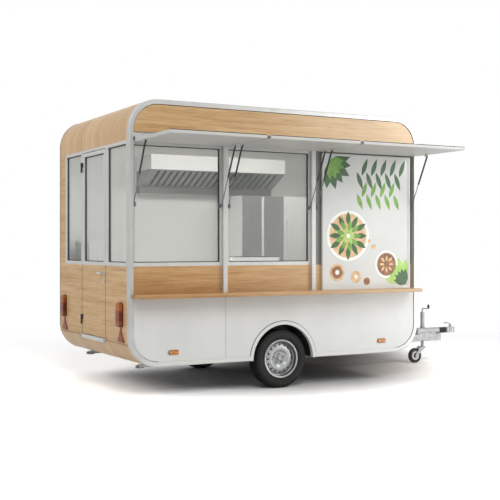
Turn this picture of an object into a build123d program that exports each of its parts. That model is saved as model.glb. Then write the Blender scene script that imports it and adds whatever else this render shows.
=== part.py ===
from build123d import *
import math
import os

os.makedirs("parts", exist_ok=True)

# Driving dimensions, in millimetres.
# u runs forward from the rear face, v inward from the serving side, z up from the road.
body_length = 3385
body_width = 2085
body_bottom = 300
body_top = 2840
corner_radius = 300
wall = 40
seam = 0.5
trim_face = 46
trim_depth = 56
far_trim = 20
trim_round = 10
skin_setback = 8
bay_setback = 60
post_setback = 30
rear_reach = 50
hitch_reach = 1397

# Heights of the serving wall
shelf_top = 990
shelf_thick = 35
shelf_reach = 200
shelf_rear = 30
shelf_front = 78
sill_bottom = 1253
sill_top = 1289
fascia_height = 318
header_height = 82
window_head = 35
fascia_bottom = body_top - fascia_height
header_bottom = fascia_bottom - header_height
window_top = header_bottom - window_head

# Posts and window frames
post_width = 48
post_table = [(1006, "rear"), (2036, "front")]
stile = 26
glass_thick = 6
glass_gap = 0.3
glass_set = 28

# Flaps, their hook hinge and their gas struts
flap_reach = 825
flap_thick = 30
flap_end_gap = 6
flap_post_gap = 40
hinge_v = -8
hinge_drop = 67
hinge_z = fascia_bottom - hinge_drop
bead_radius = 7
hook_clear = 0.4
hook_radius = 13
web_thick = 3
strut_out = 235
strut_drop = 50
strut_foot_drop = 613
strut_foot_z = hinge_z - strut_foot_drop
strut_radius = 9
strut_length = 325
rod_radius = 4.5
rod_clear = 0.5
rod_hold = 22
pin_radius = 4
pin_clear = 0.3
eye_radius = 10
eye_width = 14
ear_thick = 5
strut_gap = 5

# Menu board
board_margin = 81
board_end = 35
board_thick = 25
board_drop = 24
board_top = header_bottom - board_drop
board_rim = 22

# Rear wall and door
door_near = 620
door_far = 1322
door_gap = 8
door_bottom = 533
tread_inset = 45
tread_drop = 22
rail_rise = 2
rail_height = 24
rail_top = header_bottom + rail_rise
door_head = rail_top - rail_height
lower_seam = 510
near_pane = (74, 560)
far_stile = 205
far_pane_side = 30
far_pane_edge = 42
stile_far = body_width - far_stile
far_pane = (door_far + far_pane_side, stile_far - far_pane_edge)
rear_pane_drop = 8
rear_pane_top = door_head - rear_pane_drop
door_pane_side = 52
door_pane_drop = 45
door_pane_top = door_head - door_pane_drop
hinge_barrel = 9
hinge_height = 100
hinge_pin = 5
door_hinge_out = 8
door_hinge_inset = 150
door_hinge_z = [door_bottom + door_hinge_inset, door_head - door_hinge_inset]

# Wheels and axle
axle_setback = 13
axle_u = body_length / 2 - axle_setback
tyre_radius = 298
tyre_width = 185
tyre_inset = 30
rim_flange = 194.5
arch_clear = 54
arch_lip = 35
lip_proud = 6
spindle_radius = 15
spindle_clear = 0.5
axle_beam_size = 80
axle_lead = 165
arm_gap = 9
arm_thick = 35

# Chassis and floor
rail_v = 300
rail_width = 60
rail_bottom = 340
floor_bottom = 440
floor_thick = 60
cross_height = 80
cross_width = 50
section_wall = 4
cross_inset = 335
cross_back = 657
cross_ahead = 243
cross_end = body_length - cross_inset
cross_mid = axle_u + cross_ahead
cross_table = [cross_inset, axle_u - cross_back, cross_mid, (cross_mid + cross_end) / 2, cross_end]

# Drawbar, overrun hitch and jockey wheel
pole_width = 80
pole_height = 84
pole_start = cross_mid - cross_width / 2
coupling_length = 142
bellows_length = 112
housing_length = 340
housing_radius = 37.5
bellows_end = hitch_reach - coupling_length
housing_end = bellows_end - bellows_length
housing_start = housing_end - housing_length
pole_past = 14
pole_reach = housing_end + pole_past
bellows_folds = 6
ball_radius = 25.3
ball_setback = 40
shaft_radius = 25
jockey_back = 170
jockey_reach = housing_end - jockey_back
jockey_offset = 90
jockey_outer = 24
jockey_inner = 19
jockey_clear = 0.6
jockey_top = 625
jockey_low = 330
jockey_wheel_radius = 90
jockey_wheel_width = 50
jockey_trail = 120
fork_gap = 6
crank_throw = 95
crank_rise = 40

# Steady legs
steady_u = 600
steady_z = 304
steady_length = 370
steady_width = 44
steady_height = 30
steady_gap = 6

# Lamps
lamp_width = 100
lamp_height = 230
lamp_depth = 42
lamp_v = 200
lamp_z = 792
reflector_side = 150
reflector_z = 534
marker_size = (97, 36, 14)
marker_table = [458, body_length - 484]
marker_z = 430

# Fittings inside
cabinet_start = 130
cabinet_end = post_table[1][0] - 78
cabinet_depth = 550
cabinet_top = 1262
board_panel = 18
hob_size = (460, 370, 70)
hob_back = 220
tall_end = body_length - 473
tall_widths = (553, 413)
tall_gap = 4
tall_depth = 652
tall_drop = 810
tall_top = body_top - tall_drop
pull_size = (22, 28, 600)
pull_z = 1150
counter_start = 110
counter_gap = 50
counter_depth = 602
counter_top = 1240
oven_size = (330, 470, 270)
oven_inset = (20, 30)
hood_start = 900
hood_back = 743
hood_end = body_length - hood_back
hood_drop = 360
hood_size = (442, 430)
hood_nose = 170
hood_lip = (102, 80)
slot_size = (34, 330)
slot_pitch = 80
slot_margin = 60
sheet = 4

# Where the row frame sits: the middle of the whole, on the road
overall_length = rear_reach + body_length + hitch_reach
flap_tip = flap_reach - hinge_v
overall_width = flap_tip + body_width
rear_x = rear_reach - overall_length / 2
serving_y = flap_tip - overall_width / 2
mid_x = rear_x + body_length / 2
mid_y = serving_y + body_width / 2
mid_z = (body_bottom + body_top) / 2
body_height = body_top - body_bottom
hub_z = tyre_radius
front_u = body_length
skin_in = skin_setback + wall
bay_in = bay_setback + wall
far_in = body_width - skin_in
arch_radius = tyre_radius + arch_clear
floor_top = floor_bottom + floor_thick
shelf_bottom = shelf_top - shelf_thick
inner_u0 = trim_face + seam
inner_u1 = body_length - trim_face - seam
end_v0 = trim_depth + seam
end_v1 = body_width - far_trim - seam


def px(u):
    return rear_x + u


def py(v):
    return serving_y + v


def side_plane(v):
    return Plane.XZ.offset(-py(v))


def cross_plane(u):
    return Plane.YZ.offset(px(u))


def outline(inset, mode=Mode.ADD):
    with Locations((mid_x, mid_z)):
        RectangleRounded(
            body_length - 2 * inset,
            body_height - 2 * inset,
            corner_radius - inset,
            mode=mode,
        )


def zone(u0, u1, z0, z1, mode=Mode.INTERSECT):
    with Locations((px((u0 + u1) / 2), (z0 + z1) / 2)):
        Rectangle(u1 - u0, z1 - z0, mode=mode)


def block(u0, u1, v0, v1, z0, z1, mode=Mode.ADD):
    with Locations((px((u0 + u1) / 2), py((v0 + v1) / 2), (z0 + z1) / 2)):
        Box(u1 - u0, v1 - v0, z1 - z0, mode=mode)


def end_shell(u0, u1, z0, z1, v0, v1):
    with BuildSketch(side_plane(v0)) as shell:
        outline(0)
        outline(wall, mode=Mode.SUBTRACT)
        zone(u0, u1, z0, z1)
    extrude(shell.sketch, amount=v0 - v1)


def cross_bar(radius, u0, u1, v, z, mode=Mode.ADD):
    with BuildSketch(cross_plane(u0)) as disc:
        with Locations((py(v), z)):
            Circle(radius)
    extrude(disc.sketch, amount=u1 - u0, mode=mode)


def side_bar(radius, v0, v1, u, z, mode=Mode.ADD):
    with BuildSketch(side_plane(v0)) as disc:
        with Locations((px(u), z)):
            Circle(radius)
    extrude(disc.sketch, amount=v0 - v1, mode=mode)


def upright(radius, z0, z1, u, v, mode=Mode.ADD):
    with BuildSketch(Plane.XY.offset(z0)) as disc:
        with Locations((px(u), py(v))):
            Circle(radius)
    extrude(disc.sketch, amount=z1 - z0, mode=mode)


# Bays of the serving side, from the posts
post_2 = post_table[0][0]
post_3 = post_table[1][0]
bay_table = [
    (inner_u0, post_2 - seam),
    (post_2 + post_width + seam, post_3 - seam),
    (post_3 + post_width + seam, inner_u1),
]
flap_table = [
    (trim_face + flap_end_gap, post_2 + post_width / 2 - flap_post_gap / 2),
    (post_2 + post_width / 2 + flap_post_gap / 2, post_3 + post_width / 2 - flap_post_gap / 2),
    (post_3 + post_width / 2 + flap_post_gap / 2, body_length - trim_face - flap_end_gap),
]
strut_near = strut_radius + strut_gap
strut_table = [
    (trim_face + strut_near + 4, post_2 - strut_near),
    (post_2 + post_width + strut_near, post_3 - strut_near),
    (post_3 + post_width + strut_near, body_length - trim_face - strut_near - 4),
]

# Gas strut geometry, flap open
strut_top_v = hinge_v - strut_out
strut_top_z = hinge_z - strut_drop
strut_foot_v = hinge_v + strut_drop
strut_open = math.hypot(strut_foot_v - strut_top_v, strut_top_z - strut_foot_z)
strut_dir = (
    0,
    (strut_foot_v - strut_top_v) / strut_open,
    (strut_foot_z - strut_top_z) / strut_open,
)

# Running gear and chassis

with BuildPart() as chassis_rails:
    for v0 in (rail_v, body_width - rail_v - rail_width):
        with BuildSketch(cross_plane(corner_radius + 10)):
            with Locations((py(v0 + rail_width / 2), (rail_bottom + floor_bottom) / 2)):
                Rectangle(rail_width, floor_bottom - rail_bottom)
                Rectangle(
                    rail_width - 2 * section_wall,
                    floor_bottom - rail_bottom - 2 * section_wall,
                    mode=Mode.SUBTRACT,
                )
        extrude(amount=body_length - 2 * corner_radius - 20)
        middle = v0 + rail_width / 2
        ear = steady_width / 2 + steady_gap
        for side in (-1, 1):
            v_in = middle + side * ear
            v_out = middle + side * (ear - ear_thick)
            low = min(v_in, v_out)
            with BuildSketch(side_plane(low)):
                with Locations((px(steady_u), steady_z)):
                    Circle(20)
                zone(steady_u - 20, steady_u + 20, steady_z, rail_bottom, mode=Mode.ADD)
            extrude(amount=-ear_thick)
        side_bar(pin_radius + 2, middle - ear, middle + ear, steady_u, steady_z)
chassis_rails.part.label = "chassis_rails"
export_step(chassis_rails.part, "parts/chassis_rails.step")

with BuildPart() as crossmembers:
    for u in cross_table:
        with BuildSketch(side_plane(rail_v + rail_width)):
            with Locations((px(u), floor_bottom - cross_height / 2)):
                Rectangle(cross_width, cross_height)
                Rectangle(
                    cross_width - 2 * section_wall,
                    cross_height - 2 * section_wall,
                    mode=Mode.SUBTRACT,
                )
        extrude(amount=-(body_width - 2 * rail_v - 2 * rail_width))
crossmembers.part.label = "crossmembers"
export_step(crossmembers.part, "parts/crossmembers.step")

mid_v = body_width / 2
pole_top = floor_bottom - cross_height
pole_bottom = pole_top - pole_height

with BuildPart() as drawbar_pole:
    with BuildSketch(cross_plane(pole_start)):
        with Locations((mid_y, (pole_top + pole_bottom) / 2)):
            RectangleRounded(pole_width, pole_height, 8)
            RectangleRounded(pole_width - 10, pole_height - 10, 4, mode=Mode.SUBTRACT)
    extrude(amount=front_u + pole_reach - pole_start)
    block(
        front_u + pole_reach - 6,
        front_u + pole_reach,
        mid_v - pole_width / 2 + 4,
        mid_v + pole_width / 2 - 4,
        pole_bottom + 4,
        pole_top - 4,
    )
drawbar_pole.part.label = "drawbar_pole"
export_step(drawbar_pole.part, "parts/drawbar_pole.step")

hitch_z = pole_top + housing_radius

with BuildPart() as overrun_housing:
    cross_bar(housing_radius, front_u + housing_start, front_u + housing_end, mid_v, hitch_z)
    block(
        front_u + housing_start,
        front_u + housing_end - 60,
        mid_v - 32,
        mid_v + 32,
        pole_top,
        hitch_z,
    )
    block(
        front_u + housing_start - 12,
        front_u + housing_start,
        mid_v - 48,
        mid_v + 48,
        pole_top,
        hitch_z + 46,
    )
    cross_bar(
        shaft_radius + 1,
        front_u + housing_end - 80,
        front_u + housing_end,
        mid_v,
        hitch_z,
        mode=Mode.SUBTRACT,
    )
overrun_housing.part.label = "overrun_housing"
export_step(overrun_housing.part, "parts/overrun_housing.step")

with BuildPart() as hitch_bellows:
    pitch = (bellows_end - housing_end - 2 * seam) / bellows_folds
    with BuildSketch(Plane.XZ.offset(-mid_y)):
        with BuildLine():
            start_x = px(front_u + housing_end) + seam
            folds = []
            for i in range(bellows_folds):
                folds.append((start_x + i * pitch, hitch_z + shaft_radius + 6))
                folds.append((start_x + (i + 0.5) * pitch, hitch_z + shaft_radius + 11))
            end_x = start_x + bellows_folds * pitch
            folds.append((end_x, hitch_z + shaft_radius + 6))
            folds.append((end_x, hitch_z + shaft_radius + 1))
            folds.append((start_x, hitch_z + shaft_radius + 1))
            Polyline(*folds, close=True)
        make_face()
    revolve(axis=Axis((0, mid_y, hitch_z), (1, 0, 0)))
hitch_bellows.part.label = "hitch_bellows"
export_step(hitch_bellows.part, "parts/hitch_bellows.step")

ball_u = front_u + hitch_reach - ball_setback
head_low = hitch_z - 33
head_high = hitch_z + 34

with BuildPart() as ball_coupling:
    cross_bar(shaft_radius, front_u + housing_end - 79, ball_u - 60, mid_v, hitch_z)
    with BuildSketch(Plane.XY.offset(head_low)):
        with Locations((px(ball_u), mid_y)):
            Circle(ball_setback)
        with Locations((px(ball_u - 45), mid_y)):
            Rectangle(90, 2 * ball_setback - 10)
    extrude(amount=head_high - head_low)
    fillet(ball_coupling.faces().sort_by(Axis.Z)[-1].edges(), 8)
    upright(ball_radius, head_low - 1, hitch_z - 3, ball_u, mid_v, mode=Mode.SUBTRACT)
    with Locations((px(ball_u), mid_y, hitch_z - 3)):
        Sphere(ball_radius, mode=Mode.SUBTRACT)
    with BuildSketch(side_plane(mid_v - 14)):
        with BuildLine():
            Polyline(
                (px(ball_u - 34), head_high - 6),
                (px(ball_u - 10), head_high - 6),
                (px(ball_u - 2), head_high + 34),
                (px(ball_u - 62), head_high + 62),
                (px(ball_u - 104), head_high + 58),
                (px(ball_u - 104), head_high + 46),
                (px(ball_u - 62), head_high + 49),
                (px(ball_u - 18), head_high + 26),
                close=True,
            )
        make_face()
    extrude(amount=-28)
ball_coupling.part.label = "ball_coupling"
export_step(ball_coupling.part, "parts/ball_coupling.step")

jockey_u = front_u + jockey_reach
jockey_v = mid_v + jockey_offset

with BuildPart() as jockey_tube:
    upright(jockey_outer, jockey_low, jockey_top, jockey_u, jockey_v)
    upright(jockey_outer + 7, 405, 440, jockey_u, jockey_v)
    block(
        jockey_u - 22,
        jockey_u + 22,
        mid_v + pole_width / 2,
        jockey_v,
        jockey_low,
        pole_top + 70,
    )
    upright(jockey_inner, jockey_low - 1, jockey_top - 12, jockey_u, jockey_v, mode=Mode.SUBTRACT)
    crank_z = jockey_top + crank_rise
    upright(9, jockey_top - 1, crank_z, jockey_u, jockey_v)
    cross_bar(7, jockey_u, jockey_u + crank_throw + 7, jockey_v, crank_z)
    upright(13, crank_z + 2, crank_z + 48, jockey_u + crank_throw, jockey_v)
jockey_tube.part.label = "jockey_tube"
export_step(jockey_tube.part, "parts/jockey_tube.step")

fork_top = 2 * jockey_wheel_radius + 18

with BuildPart() as jockey_stem:
    upright(jockey_inner - jockey_clear, fork_top + 2, jockey_top - 180, jockey_u, jockey_v)
    upright(12 + jockey_clear, fork_top, fork_top + 62, jockey_u, jockey_v, mode=Mode.SUBTRACT)
jockey_stem.part.label = "jockey_stem"
export_step(jockey_stem.part, "parts/jockey_stem.step")

axle_pin_u = jockey_u - jockey_trail

with BuildPart() as jockey_fork:
    cheek = jockey_wheel_width / 2 + fork_gap
    for side in (-1, 1):
        low = min(side * cheek, side * (cheek + ear_thick))
        with BuildSketch(side_plane(jockey_v + low)):
            with Locations((px(axle_pin_u), jockey_wheel_radius)):
                Circle(16)
            with Locations((px(jockey_u - 12), fork_top - 4)):
                Rectangle(70, 8)
            make_hull()
        extrude(amount=-ear_thick)
    block(
        jockey_u - 47,
        jockey_u + 23,
        jockey_v - cheek - ear_thick,
        jockey_v + cheek + ear_thick,
        fork_top - 8,
        fork_top,
    )
    upright(12, fork_top - 2, fork_top + 60, jockey_u, jockey_v)
    side_bar(8, jockey_v - cheek - 1, jockey_v + cheek + 1, axle_pin_u, jockey_wheel_radius)
jockey_fork.part.label = "jockey_fork"
export_step(jockey_fork.part, "parts/jockey_fork.step")

with BuildPart() as jockey_wheel:
    half = jockey_wheel_width / 2
    with BuildSketch(side_plane(jockey_v - half)):
        with Locations((px(axle_pin_u), jockey_wheel_radius)):
            Circle(jockey_wheel_radius)
            Circle(8 + jockey_clear, mode=Mode.SUBTRACT)
    extrude(amount=-jockey_wheel_width)
    rims = [e for e in jockey_wheel.edges().filter_by(GeomType.CIRCLE) if e.radius > jockey_wheel_radius - 5]
    fillet(rims, 14)
    for side in (-1, 1):
        face_v = jockey_v + side * half
        deep_v = jockey_v + side * (half - 12)
        low = min(face_v, deep_v)
        with BuildSketch(side_plane(low)):
            with Locations((px(axle_pin_u), jockey_wheel_radius)):
                Circle(58)
                Circle(24, mode=Mode.SUBTRACT)
        extrude(amount=-12, mode=Mode.SUBTRACT)
jockey_wheel.part.label = "jockey_wheel"
export_step(jockey_wheel.part, "parts/jockey_wheel.step")

beam_u = axle_u + axle_lead
beam_z = rail_bottom - axle_beam_size / 2
arm_in = tyre_inset + skin_setback + tyre_width + arm_gap

with BuildPart() as axle_beam:
    with BuildSketch(side_plane(arm_in)):
        with Locations((px(beam_u), beam_z)):
            RectangleRounded(axle_beam_size, axle_beam_size, 8)
            RectangleRounded(axle_beam_size - 12, axle_beam_size - 12, 3, mode=Mode.SUBTRACT)
    extrude(amount=-(body_width - 2 * arm_in))
    for v0 in (arm_in, body_width - arm_in - arm_thick):
        with BuildSketch(side_plane(v0)):
            with Locations((px(axle_u), hub_z)):
                Circle(36)
            with Locations((px(beam_u), beam_z)):
                Circle(39)
            make_hull()
        extrude(amount=-arm_thick)
    spindle_tip = tyre_inset + skin_setback + 72
    side_bar(spindle_radius, spindle_tip, arm_in + 1, axle_u, hub_z)
    side_bar(spindle_radius, body_width - arm_in - 1, body_width - spindle_tip, axle_u, hub_z)
axle_beam.part.label = "axle_beam"
export_step(axle_beam.part, "parts/axle_beam.step")

# Wheel profiles: offset inward from the tyre's outer face, then radius from the axle
tyre_half = tyre_width / 2
wheel_table = [("serving", 1), ("far", -1)]
bead = 180.4
crown = tyre_radius

for side, sign in wheel_table:
    face_v = skin_setback + tyre_inset
    face_y = py(face_v) if sign == 1 else py(body_width - face_v)

    def at(offset_in, radius):
        return (face_y + sign * offset_in, hub_z + radius)

    with BuildPart() as tyre:
        with BuildSketch(Plane.YZ.offset(px(axle_u))):
            with BuildLine():
                Line(at(21, bead), at(21, 197))
                ThreePointArc(at(21, 197), at(1, 238), at(7, 276))
                ThreePointArc(at(7, 276), at(12, 289), at(26, crown - 1.5))
                ThreePointArc(
                    at(26, crown - 1.5), at(tyre_half, crown), at(tyre_width - 26, crown - 1.5)
                )
                ThreePointArc(
                    at(tyre_width - 26, crown - 1.5),
                    at(tyre_width - 12, 289),
                    at(tyre_width - 7, 276),
                )
                ThreePointArc(
                    at(tyre_width - 7, 276),
                    at(tyre_width - 1, 238),
                    at(tyre_width - 21, 197),
                )
                Polyline(
                    at(tyre_width - 21, 197),
                    at(tyre_width - 21, bead),
                    at(tyre_width - 36, bead),
                    at(tyre_width - 14, 240),
                    at(tyre_width - 24, 280),
                    at(24, 280),
                    at(14, 240),
                    at(36, bead),
                    at(21, bead),
                )
            make_face()
        revolve(axis=Axis((px(axle_u), 0, hub_z), (0, 1, 0)))
    tyre.part.label = f"tyre_{side}"
    export_step(tyre.part, f"parts/tyre_{side}.step")

    with BuildPart() as rim:
        with BuildSketch(Plane.YZ.offset(px(axle_u))):
            with BuildLine():
                Polyline(
                    at(14, rim_flange),
                    at(18, rim_flange),
                    at(20, 180),
                    at(50, 180),
                    at(58, 166),
                    at(127, 166),
                    at(135, 180),
                    at(165, 180),
                    at(167, rim_flange),
                    at(171, rim_flange),
                    at(171, 188),
                    at(168, 175),
                    at(138, 175),
                    at(130, 161),
                    at(55, 161),
                    at(47, 175),
                    at(17, 175),
                    at(14, 188),
                    close=True,
                )
            make_face()
            with BuildLine():
                Polyline(
                    at(57, 26),
                    at(57, 66),
                    at(42, 92),
                    at(40, 112),
                    at(46, 132),
                    at(58, 162),
                    at(64, 162),
                    at(52, 131),
                    at(46, 112),
                    at(48, 94),
                    at(62, 70),
                    at(62, 26),
                    close=True,
                )
            make_face()
            with BuildLine():
                Polyline(
                    at(34, 0),
                    at(34, 18),
                    at(42, 27),
                    at(62, 27),
                    at(62, 52),
                    at(66, 52),
                    at(66, 115),
                    at(128, 115),
                    at(128, 105),
                    at(74, 105),
                    at(74, 52),
                    at(135, 52),
                    at(135, spindle_radius + spindle_clear),
                    at(70, spindle_radius + spindle_clear),
                    at(70, 0),
                    close=True,
                )
            make_face()
        revolve(axis=Axis((px(axle_u), 0, hub_z), (0, 1, 0)))
        hole_y = face_y + sign * 30
        with BuildSketch(Plane.XZ.offset(-hole_y)):
            with Locations((px(axle_u), hub_z)):
                with PolarLocations(139, 16):
                    Circle(9.5)
        extrude(amount=-sign * 40, mode=Mode.SUBTRACT)
        bolt_y = face_y + sign * 57.5
        with BuildSketch(Plane.XZ.offset(-bolt_y)):
            with Locations((px(axle_u), hub_z)):
                with PolarLocations(48, 5, start_angle=90):
                    RegularPolygon(10, 6)
        extrude(amount=sign * 14)
    rim.part.label = f"rim_{side}"
    export_step(rim.part, f"parts/rim_{side}.step")

# Steady legs, folded up under the rear corners
leg_table = [("serving", rail_v + rail_width / 2), ("far", body_width - rail_v - rail_width / 2)]
for side, leg_v in leg_table:
    with BuildPart() as steady_leg:
        low_z = steady_z - steady_height - 10
        half = steady_width / 2
        block(
            steady_u - steady_length,
            steady_u + 8,
            leg_v - half,
            leg_v + half,
            low_z,
            low_z + steady_height,
        )
        block(
            steady_u - steady_length - 1,
            steady_u - 24,
            leg_v - half + 4,
            leg_v + half - 4,
            low_z + 4,
            low_z + steady_height + 1,
            mode=Mode.SUBTRACT,
        )
        side_bar(16, leg_v - half, leg_v + half, steady_u, steady_z)
        side_bar(
            pin_radius + 2 + rod_clear,
            leg_v - half - 1,
            leg_v + half + 1,
            steady_u,
            steady_z,
            mode=Mode.SUBTRACT,
        )
        block(
            steady_u - steady_length - 24,
            steady_u - steady_length + 46,
            leg_v - 38,
            leg_v + 38,
            low_z - 6,
            low_z,
        )
        with BuildSketch(cross_plane(steady_u - steady_length - 30)):
            with Locations((py(leg_v), low_z + 14)):
                RegularPolygon(11, 6)
        extrude(amount=40)
        block(
            steady_u - steady_length,
            steady_u - steady_length + 12,
            leg_v - half,
            leg_v + half,
            low_z,
            low_z + steady_height,
        )
    steady_leg.part.label = f"steady_leg_{side}"
    export_step(steady_leg.part, f"parts/steady_leg_{side}.step")

# Floor and body shell

box_radius = arch_radius + 4
box_depth = rail_v - 10 - skin_in - seam

with BuildPart() as floor_panel:
    floor_end = corner_radius - math.sqrt(
        (corner_radius - wall) ** 2 - (body_bottom + corner_radius - floor_bottom) ** 2
    )
    block(
        floor_end + 5,
        body_length - floor_end - 5,
        trim_depth + 1,
        body_width - trim_depth - 1,
        floor_bottom,
        floor_top,
    )
    block(
        floor_end + 30,
        body_length - floor_end - 30,
        skin_in,
        far_in,
        floor_bottom,
        floor_top,
    )
    for v0 in (skin_in, body_width - skin_in - box_depth - 3):
        block(
            axle_u - box_radius - 2,
            axle_u + box_radius + 2,
            v0 - 1,
            v0 + box_depth + 4,
            floor_bottom - 1,
            floor_top + 1,
            mode=Mode.SUBTRACT,
        )
floor_panel.part.label = "floor_panel"
export_step(floor_panel.part, "parts/floor_panel.step")

with BuildPart() as wheel_boxes:
    for v0, plate_v in (
        (skin_in + seam, skin_in + seam + box_depth - sheet),
        (far_in - seam - box_depth, far_in - seam - box_depth),
    ):
        with BuildSketch(side_plane(v0)):
            with Locations((px(axle_u), hub_z)):
                Circle(box_radius)
                Circle(box_radius - sheet, mode=Mode.SUBTRACT)
            zone(axle_u - box_radius, axle_u + box_radius, body_bottom + 62, body_top)
        extrude(amount=-box_depth)
        with BuildSketch(side_plane(plate_v)):
            with Locations((px(axle_u), hub_z)):
                Circle(box_radius)
            zone(axle_u - box_radius, axle_u + box_radius, floor_bottom, body_top)
        extrude(amount=-sheet)
wheel_boxes.part.label = "wheel_boxes"
export_step(wheel_boxes.part, "parts/wheel_boxes.step")

skirt_split = 1020
skirt_table = [(trim_face, skirt_split - 1.5), (skirt_split + 1.5, body_length - trim_face)]

with BuildPart() as skirts:
    for v0, lip_v in ((skin_setback, skin_setback - lip_proud), (far_in, body_width - skin_setback)):
        for u0, u1 in skirt_table:
            with BuildSketch(side_plane(v0)):
                outline(trim_face + seam)
                zone(u0, u1, body_bottom, shelf_bottom)
                if u0 < axle_u < u1:
                    with Locations((px(axle_u), hub_z)):
                        Circle(arch_radius + arch_lip)
                    zone(u0, u1, body_bottom, shelf_bottom)
                    with Locations((px(axle_u), hub_z)):
                        Circle(arch_radius, mode=Mode.SUBTRACT)
            extrude(amount=-wall)
        with BuildSketch(side_plane(lip_v)):
            with Locations((px(axle_u), hub_z)):
                Circle(arch_radius + arch_lip)
                Circle(arch_radius, mode=Mode.SUBTRACT)
            zone(0, body_length, body_bottom, body_top)
        extrude(amount=-lip_proud)
skirts.part.label = "skirts"
export_step(skirts.part, "parts/skirts.step")

with BuildPart() as edge_trims:
    for v0, depth in ((0, trim_depth), (body_width - far_trim, far_trim)):
        with BuildSketch(side_plane(v0)):
            outline(0)
            outline(trim_face, mode=Mode.SUBTRACT)
            with Locations((px(axle_u), hub_z)):
                Circle(arch_radius + arch_lip + seam, mode=Mode.SUBTRACT)
        extrude(amount=-depth)
    for face, facing in (
        (edge_trims.faces().sort_by(Axis.Y)[0], -1),
        (edge_trims.faces().sort_by(Axis.Y)[-1], 1),
    ):
        rim_edges = [
            e
            for e in face.edges()
            if abs(e.center().X - mid_x) > body_length / 2 - corner_radius
            or e.center().Z > body_top - 5
        ]
        outer_edges = [
            e
            for e in rim_edges
            if abs(e.center().X - mid_x) > body_length / 2 - trim_face / 2
            or e.center().Z > body_top - trim_face / 2
            or (e.geom_type == GeomType.CIRCLE and abs(e.radius - corner_radius) < 1)
        ]
        fillet(outer_edges, trim_round)
edge_trims.part.label = "edge_trims"
export_step(edge_trims.part, "parts/edge_trims.step")

with BuildPart() as serving_panels:
    with BuildSketch(side_plane(skin_setback)):
        outline(trim_face + seam)
        zone(0, body_length, fascia_bottom + seam, body_top)
    extrude(amount=-wall)
    for u0, u1 in bay_table:
        block(u0, u1, bay_setback, bay_in, shelf_bottom, sill_bottom - seam)
serving_panels.part.label = "serving_panels"
export_step(serving_panels.part, "parts/serving_panels.step")

with BuildPart() as window_posts:
    for u0, where in post_table:
        with BuildSketch(Plane.XY.offset(shelf_top)):
            with Locations((px(u0 + post_width / 2), py((post_setback + bay_in) / 2))):
                RectangleRounded(post_width, bay_in - post_setback, 4)
        extrude(amount=header_bottom - shelf_top)
window_posts.part.label = "window_posts"
export_step(window_posts.part, "parts/window_posts.step")

with BuildPart() as hinge_rail:
    with BuildSketch(cross_plane(inner_u0)):
        with Locations((py((post_setback + bay_in) / 2), (header_bottom + fascia_bottom) / 2)):
            Rectangle(bay_in - post_setback, fascia_bottom - header_bottom)
        with Locations((py((hinge_v + post_setback) / 2), hinge_z)):
            Rectangle(post_setback - hinge_v, web_thick)
        with Locations((py(hinge_v), hinge_z)):
            Circle(bead_radius)
    extrude(amount=inner_u1 - inner_u0)
hinge_rail.part.label = "hinge_rail"
export_step(hinge_rail.part, "parts/hinge_rail.step")

rear_frame_table = [
    (end_v0, door_near - seam, near_pane[0], near_pane[1]),
    (door_far + seam, stile_far - seam, far_pane[0], far_pane[1]),
]

with BuildPart() as window_frames:
    for u0, u1 in bay_table[:2]:
        with BuildSketch(side_plane(bay_setback)):
            zone(u0, u1, sill_bottom, header_bottom - seam, mode=Mode.ADD)
            zone(u0 + stile, u1 - stile, sill_top, window_top, mode=Mode.SUBTRACT)
        extrude(amount=-wall)
    for v0, v1, w0, w1 in rear_frame_table:
        with BuildSketch(cross_plane(0)):
            with Locations((py((v0 + v1) / 2), (sill_bottom + door_head) / 2)):
                Rectangle(v1 - v0, door_head - sill_bottom - 2 * seam)
            with Locations((py((w0 + w1) / 2), (sill_top + rear_pane_top) / 2)):
                Rectangle(w1 - w0, rear_pane_top - sill_top, mode=Mode.SUBTRACT)
        extrude(amount=wall)
window_frames.part.label = "window_frames"
export_step(window_frames.part, "parts/window_frames.step")

with BuildPart() as window_glass:
    for u0, u1 in bay_table[:2]:
        block(
            u0 + stile + glass_gap,
            u1 - stile - glass_gap,
            bay_setback + glass_set,
            bay_setback + glass_set + glass_thick,
            sill_top + glass_gap,
            window_top - glass_gap,
        )
    for v0, v1, w0, w1 in rear_frame_table:
        block(
            glass_set,
            glass_set + glass_thick,
            w0 + glass_gap,
            w1 - glass_gap,
            sill_top + glass_gap,
            rear_pane_top - glass_gap,
        )
window_glass.part.label = "window_glass"
export_step(window_glass.part, "parts/window_glass.step")

with BuildPart() as bay_panel:
    block(
        bay_table[2][0],
        bay_table[2][1],
        bay_setback,
        bay_in,
        sill_bottom,
        header_bottom - seam,
    )
bay_panel.part.label = "bay_panel"
export_step(bay_panel.part, "parts/bay_panel.step")

board_u0 = post_3 + post_width + board_margin
board_u1 = body_length - trim_face - board_end

with BuildPart() as menu_board:
    block(
        board_u0,
        board_u1,
        post_setback,
        post_setback + board_thick,
        shelf_top,
        board_top,
    )
    block(
        board_u0 + board_rim,
        board_u1 - board_rim,
        post_setback - 1,
        post_setback + 6,
        shelf_top + board_rim,
        board_top - board_rim,
        mode=Mode.SUBTRACT,
    )
menu_board.part.label = "menu_board"
export_step(menu_board.part, "parts/menu_board.step")

with BuildPart() as counter_shelf:
    block(shelf_rear, body_length - shelf_front, -shelf_reach - seam, -seam, shelf_bottom, shelf_top)
    corners = [
        e for e in counter_shelf.edges().filter_by(Axis.Z) if e.center().Y < py(-shelf_reach + 1)
    ]
    fillet(corners, 25)
    front_edges = [
        e for e in counter_shelf.edges().filter_by(Axis.X) if e.center().Y < py(-shelf_reach + 1)
    ]
    fillet(front_edges, 8)
    block(inner_u0, inner_u1, -seam - 1, bay_setback - seam, shelf_bottom, shelf_top)
counter_shelf.part.label = "counter_shelf"
export_step(counter_shelf.part, "parts/counter_shelf.step")

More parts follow.
